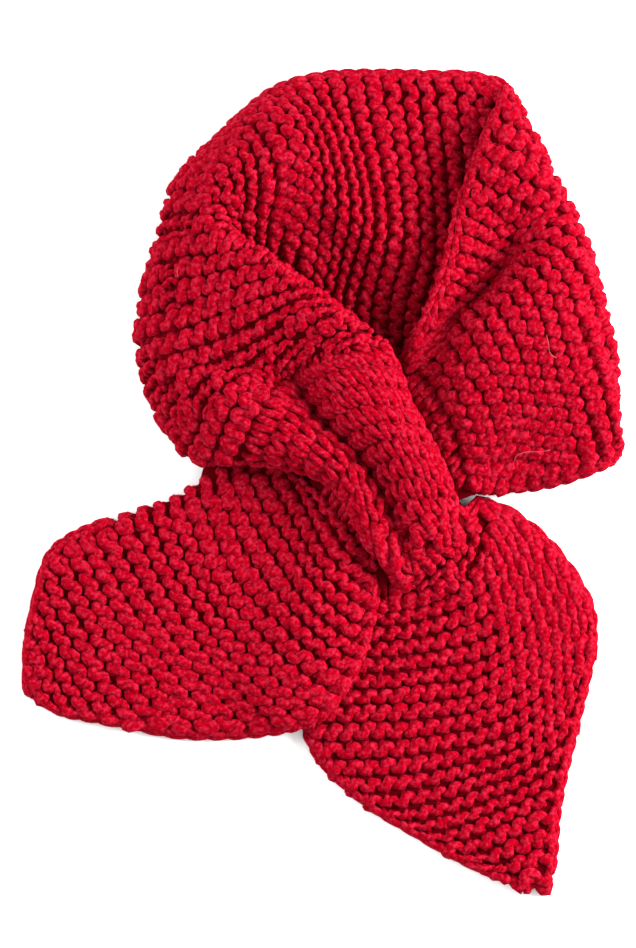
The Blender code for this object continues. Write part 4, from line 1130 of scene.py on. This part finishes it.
class SCARF_OT_backing(bpy.types.Operator):
    """Lays the thin cloth that fills the space between the loops, coloured darker as painted shade"""
    bl_idname = "scarf.backing"
    bl_label = "Lay the backing"

    def execute(self, context):
        # Painted shade: the backing's dark colour stands for the shade between the loops and in the gaps past
        # them.
        paint = plain_material("Shaded wool", context.scene.scarf_wool.backing, hollow_shade_share=0.6)
        for name, table, first, last, _, _, _, (width, length, area) in STRETCHES:
            cloth = cloth_of(table)
            mesh = grid_mesh(name + "_backing", BACKING_COLUMNS, max(6, int((last - first) * 2)), 0.5)
            spots = np.empty(len(mesh.vertices) * 3, np.float32)
            mesh.vertices.foreach_get("co", spots)
            share, onward = spots.reshape(-1, 3).astype(float)[:, :2].T + 0.5
            ridge = first + onward * (last - first)
            reach = np.full((2, len(ridge)), -BACKING_INSET)
            for owner, side, middle, spread, size in LIPS:
                if owner == name:
                    reach[side] += size * np.exp(-((ridge - middle) / spread) ** 2)
            reach /= cloth.width_at(ridge)
            point, _ = cloth.at(share * (1 + reach.sum(axis=0)) - reach[0], ridge)
            mesh.vertices.foreach_set("co", laid(point, BACKING_LOWEST).astype(np.float32).ravel())
            piece = place(name + "_backing", mesh, paint, name)
            wall = piece.modifiers.new("Thickness", "SOLIDIFY")
            wall.thickness = BACKING_THICKNESS
            wall.offset = 0.0
        return {"FINISHED"}


class SCARF_OT_stage(bpy.types.Operator):
    """Sets the pale floor, the soft lights and the camera straight above the scarf"""
    bl_idname = "scarf.stage"
    bl_label = "Set the stage"

    def execute(self, context):
        scene = context.scene
        look = scene.scarf_stage
        fresh("floor")
        mesh = grid_mesh("floor", 2, 2, FLOOR_HALF)
        floor = bpy.data.objects.new("floor", mesh)
        scene.collection.objects.link(floor)
        paint = bpy.data.materials.get("Pale floor") or bpy.data.materials.new("Pale floor")
        paint.use_nodes = True
        shader = next(node for node in paint.node_tree.nodes if node.type == "BSDF_PRINCIPLED")
        fill(paint.node_tree, shader, {"Base Color": (*look.floor, 1.0), "Roughness": 0.9})
        mesh.materials.append(paint)

        for name, spot, power in (("key_light", (1.45, 0.3, 0.75), look.key_power),
                                  ("fill_light", (-1.4, 0.5, 0.55), look.fill_power)):
            fresh(name)
            light = bpy.data.lights.new(name, "AREA")
            light.shape = "DISK"
            light.size = LIGHT_SIZE
            light.energy = power
            lamp = bpy.data.objects.new(name, light)
            lamp.location = spot
            lamp.rotation_euler = (-Vector(spot)).to_track_quat("-Z", "Y").to_euler()
            scene.collection.objects.link(lamp)

        world = bpy.data.worlds.get("Soft light") or bpy.data.worlds.new("Soft light")
        world.use_nodes = True
        sky = next(node for node in world.node_tree.nodes if node.type == "BACKGROUND")
        fill(world.node_tree, sky, {"Color": (1.0, 1.0, 1.0, 1.0), "Strength": look.sky})
        scene.world = world

        fresh("camera")
        camera = bpy.data.cameras.new("camera")
        camera.type = "ORTHO"
        camera.ortho_scale = look.view_height
        camera.clip_end = 20.0
        eye = bpy.data.objects.new("camera", camera)
        eye.location = (look.view_x, look.view_y, look.distance)
        scene.collection.objects.link(eye)
        scene.camera = eye
        scene.view_settings.view_transform = "Standard"
        scene.view_settings.exposure = look.brightness
        return {"FINISHED"}


class SCARF_PT_panel(bpy.types.Panel):
    """Lists what the scarf is made of"""
    bl_idname = "SCARF_PT_panel"
    bl_label = "Scarf"
    bl_space_type = "VIEW_3D"
    bl_region_type = "UI"
    bl_category = "Scarf"

    def draw(self, context):
        layout = self.layout
        for title, settings in (("Yarn", context.scene.scarf_yarn), ("Wool", context.scene.scarf_wool),
                                ("Stage", context.scene.scarf_stage)):
            box = layout.box()
            box.label(text=title)
            for key in settings.__annotations__:
                box.prop(settings, key)
        for operator in OPERATORS:
            layout.operator(operator.bl_idname)


GROUPS = (ScarfYarn, ScarfWool, ScarfStage)
OPERATORS = (SCARF_OT_stage, SCARF_OT_knit, SCARF_OT_chains, SCARF_OT_hairs, SCARF_OT_backing)


def register():
    for group in GROUPS:
        bpy.utils.register_class(group)
    bpy.types.Scene.scarf_yarn = PointerProperty(type=ScarfYarn)
    bpy.types.Scene.scarf_wool = PointerProperty(type=ScarfWool)
    bpy.types.Scene.scarf_stage = PointerProperty(type=ScarfStage)
    for operator in OPERATORS:
        bpy.utils.register_class(operator)
    bpy.utils.register_class(SCARF_PT_panel)


def unregister():
    bpy.utils.unregister_class(SCARF_PT_panel)
    for operator in reversed(OPERATORS):
        bpy.utils.unregister_class(operator)
    del bpy.types.Scene.scarf_stage
    del bpy.types.Scene.scarf_wool
    del bpy.types.Scene.scarf_yarn
    for group in reversed(GROUPS):
        bpy.utils.unregister_class(group)


def main():
    register()
    bpy.ops.scarf.stage()
    bpy.ops.scarf.knit()
    bpy.ops.scarf.chains()
    bpy.ops.scarf.hairs()
    bpy.ops.scarf.backing()


if __name__ == "__main__":
    main()
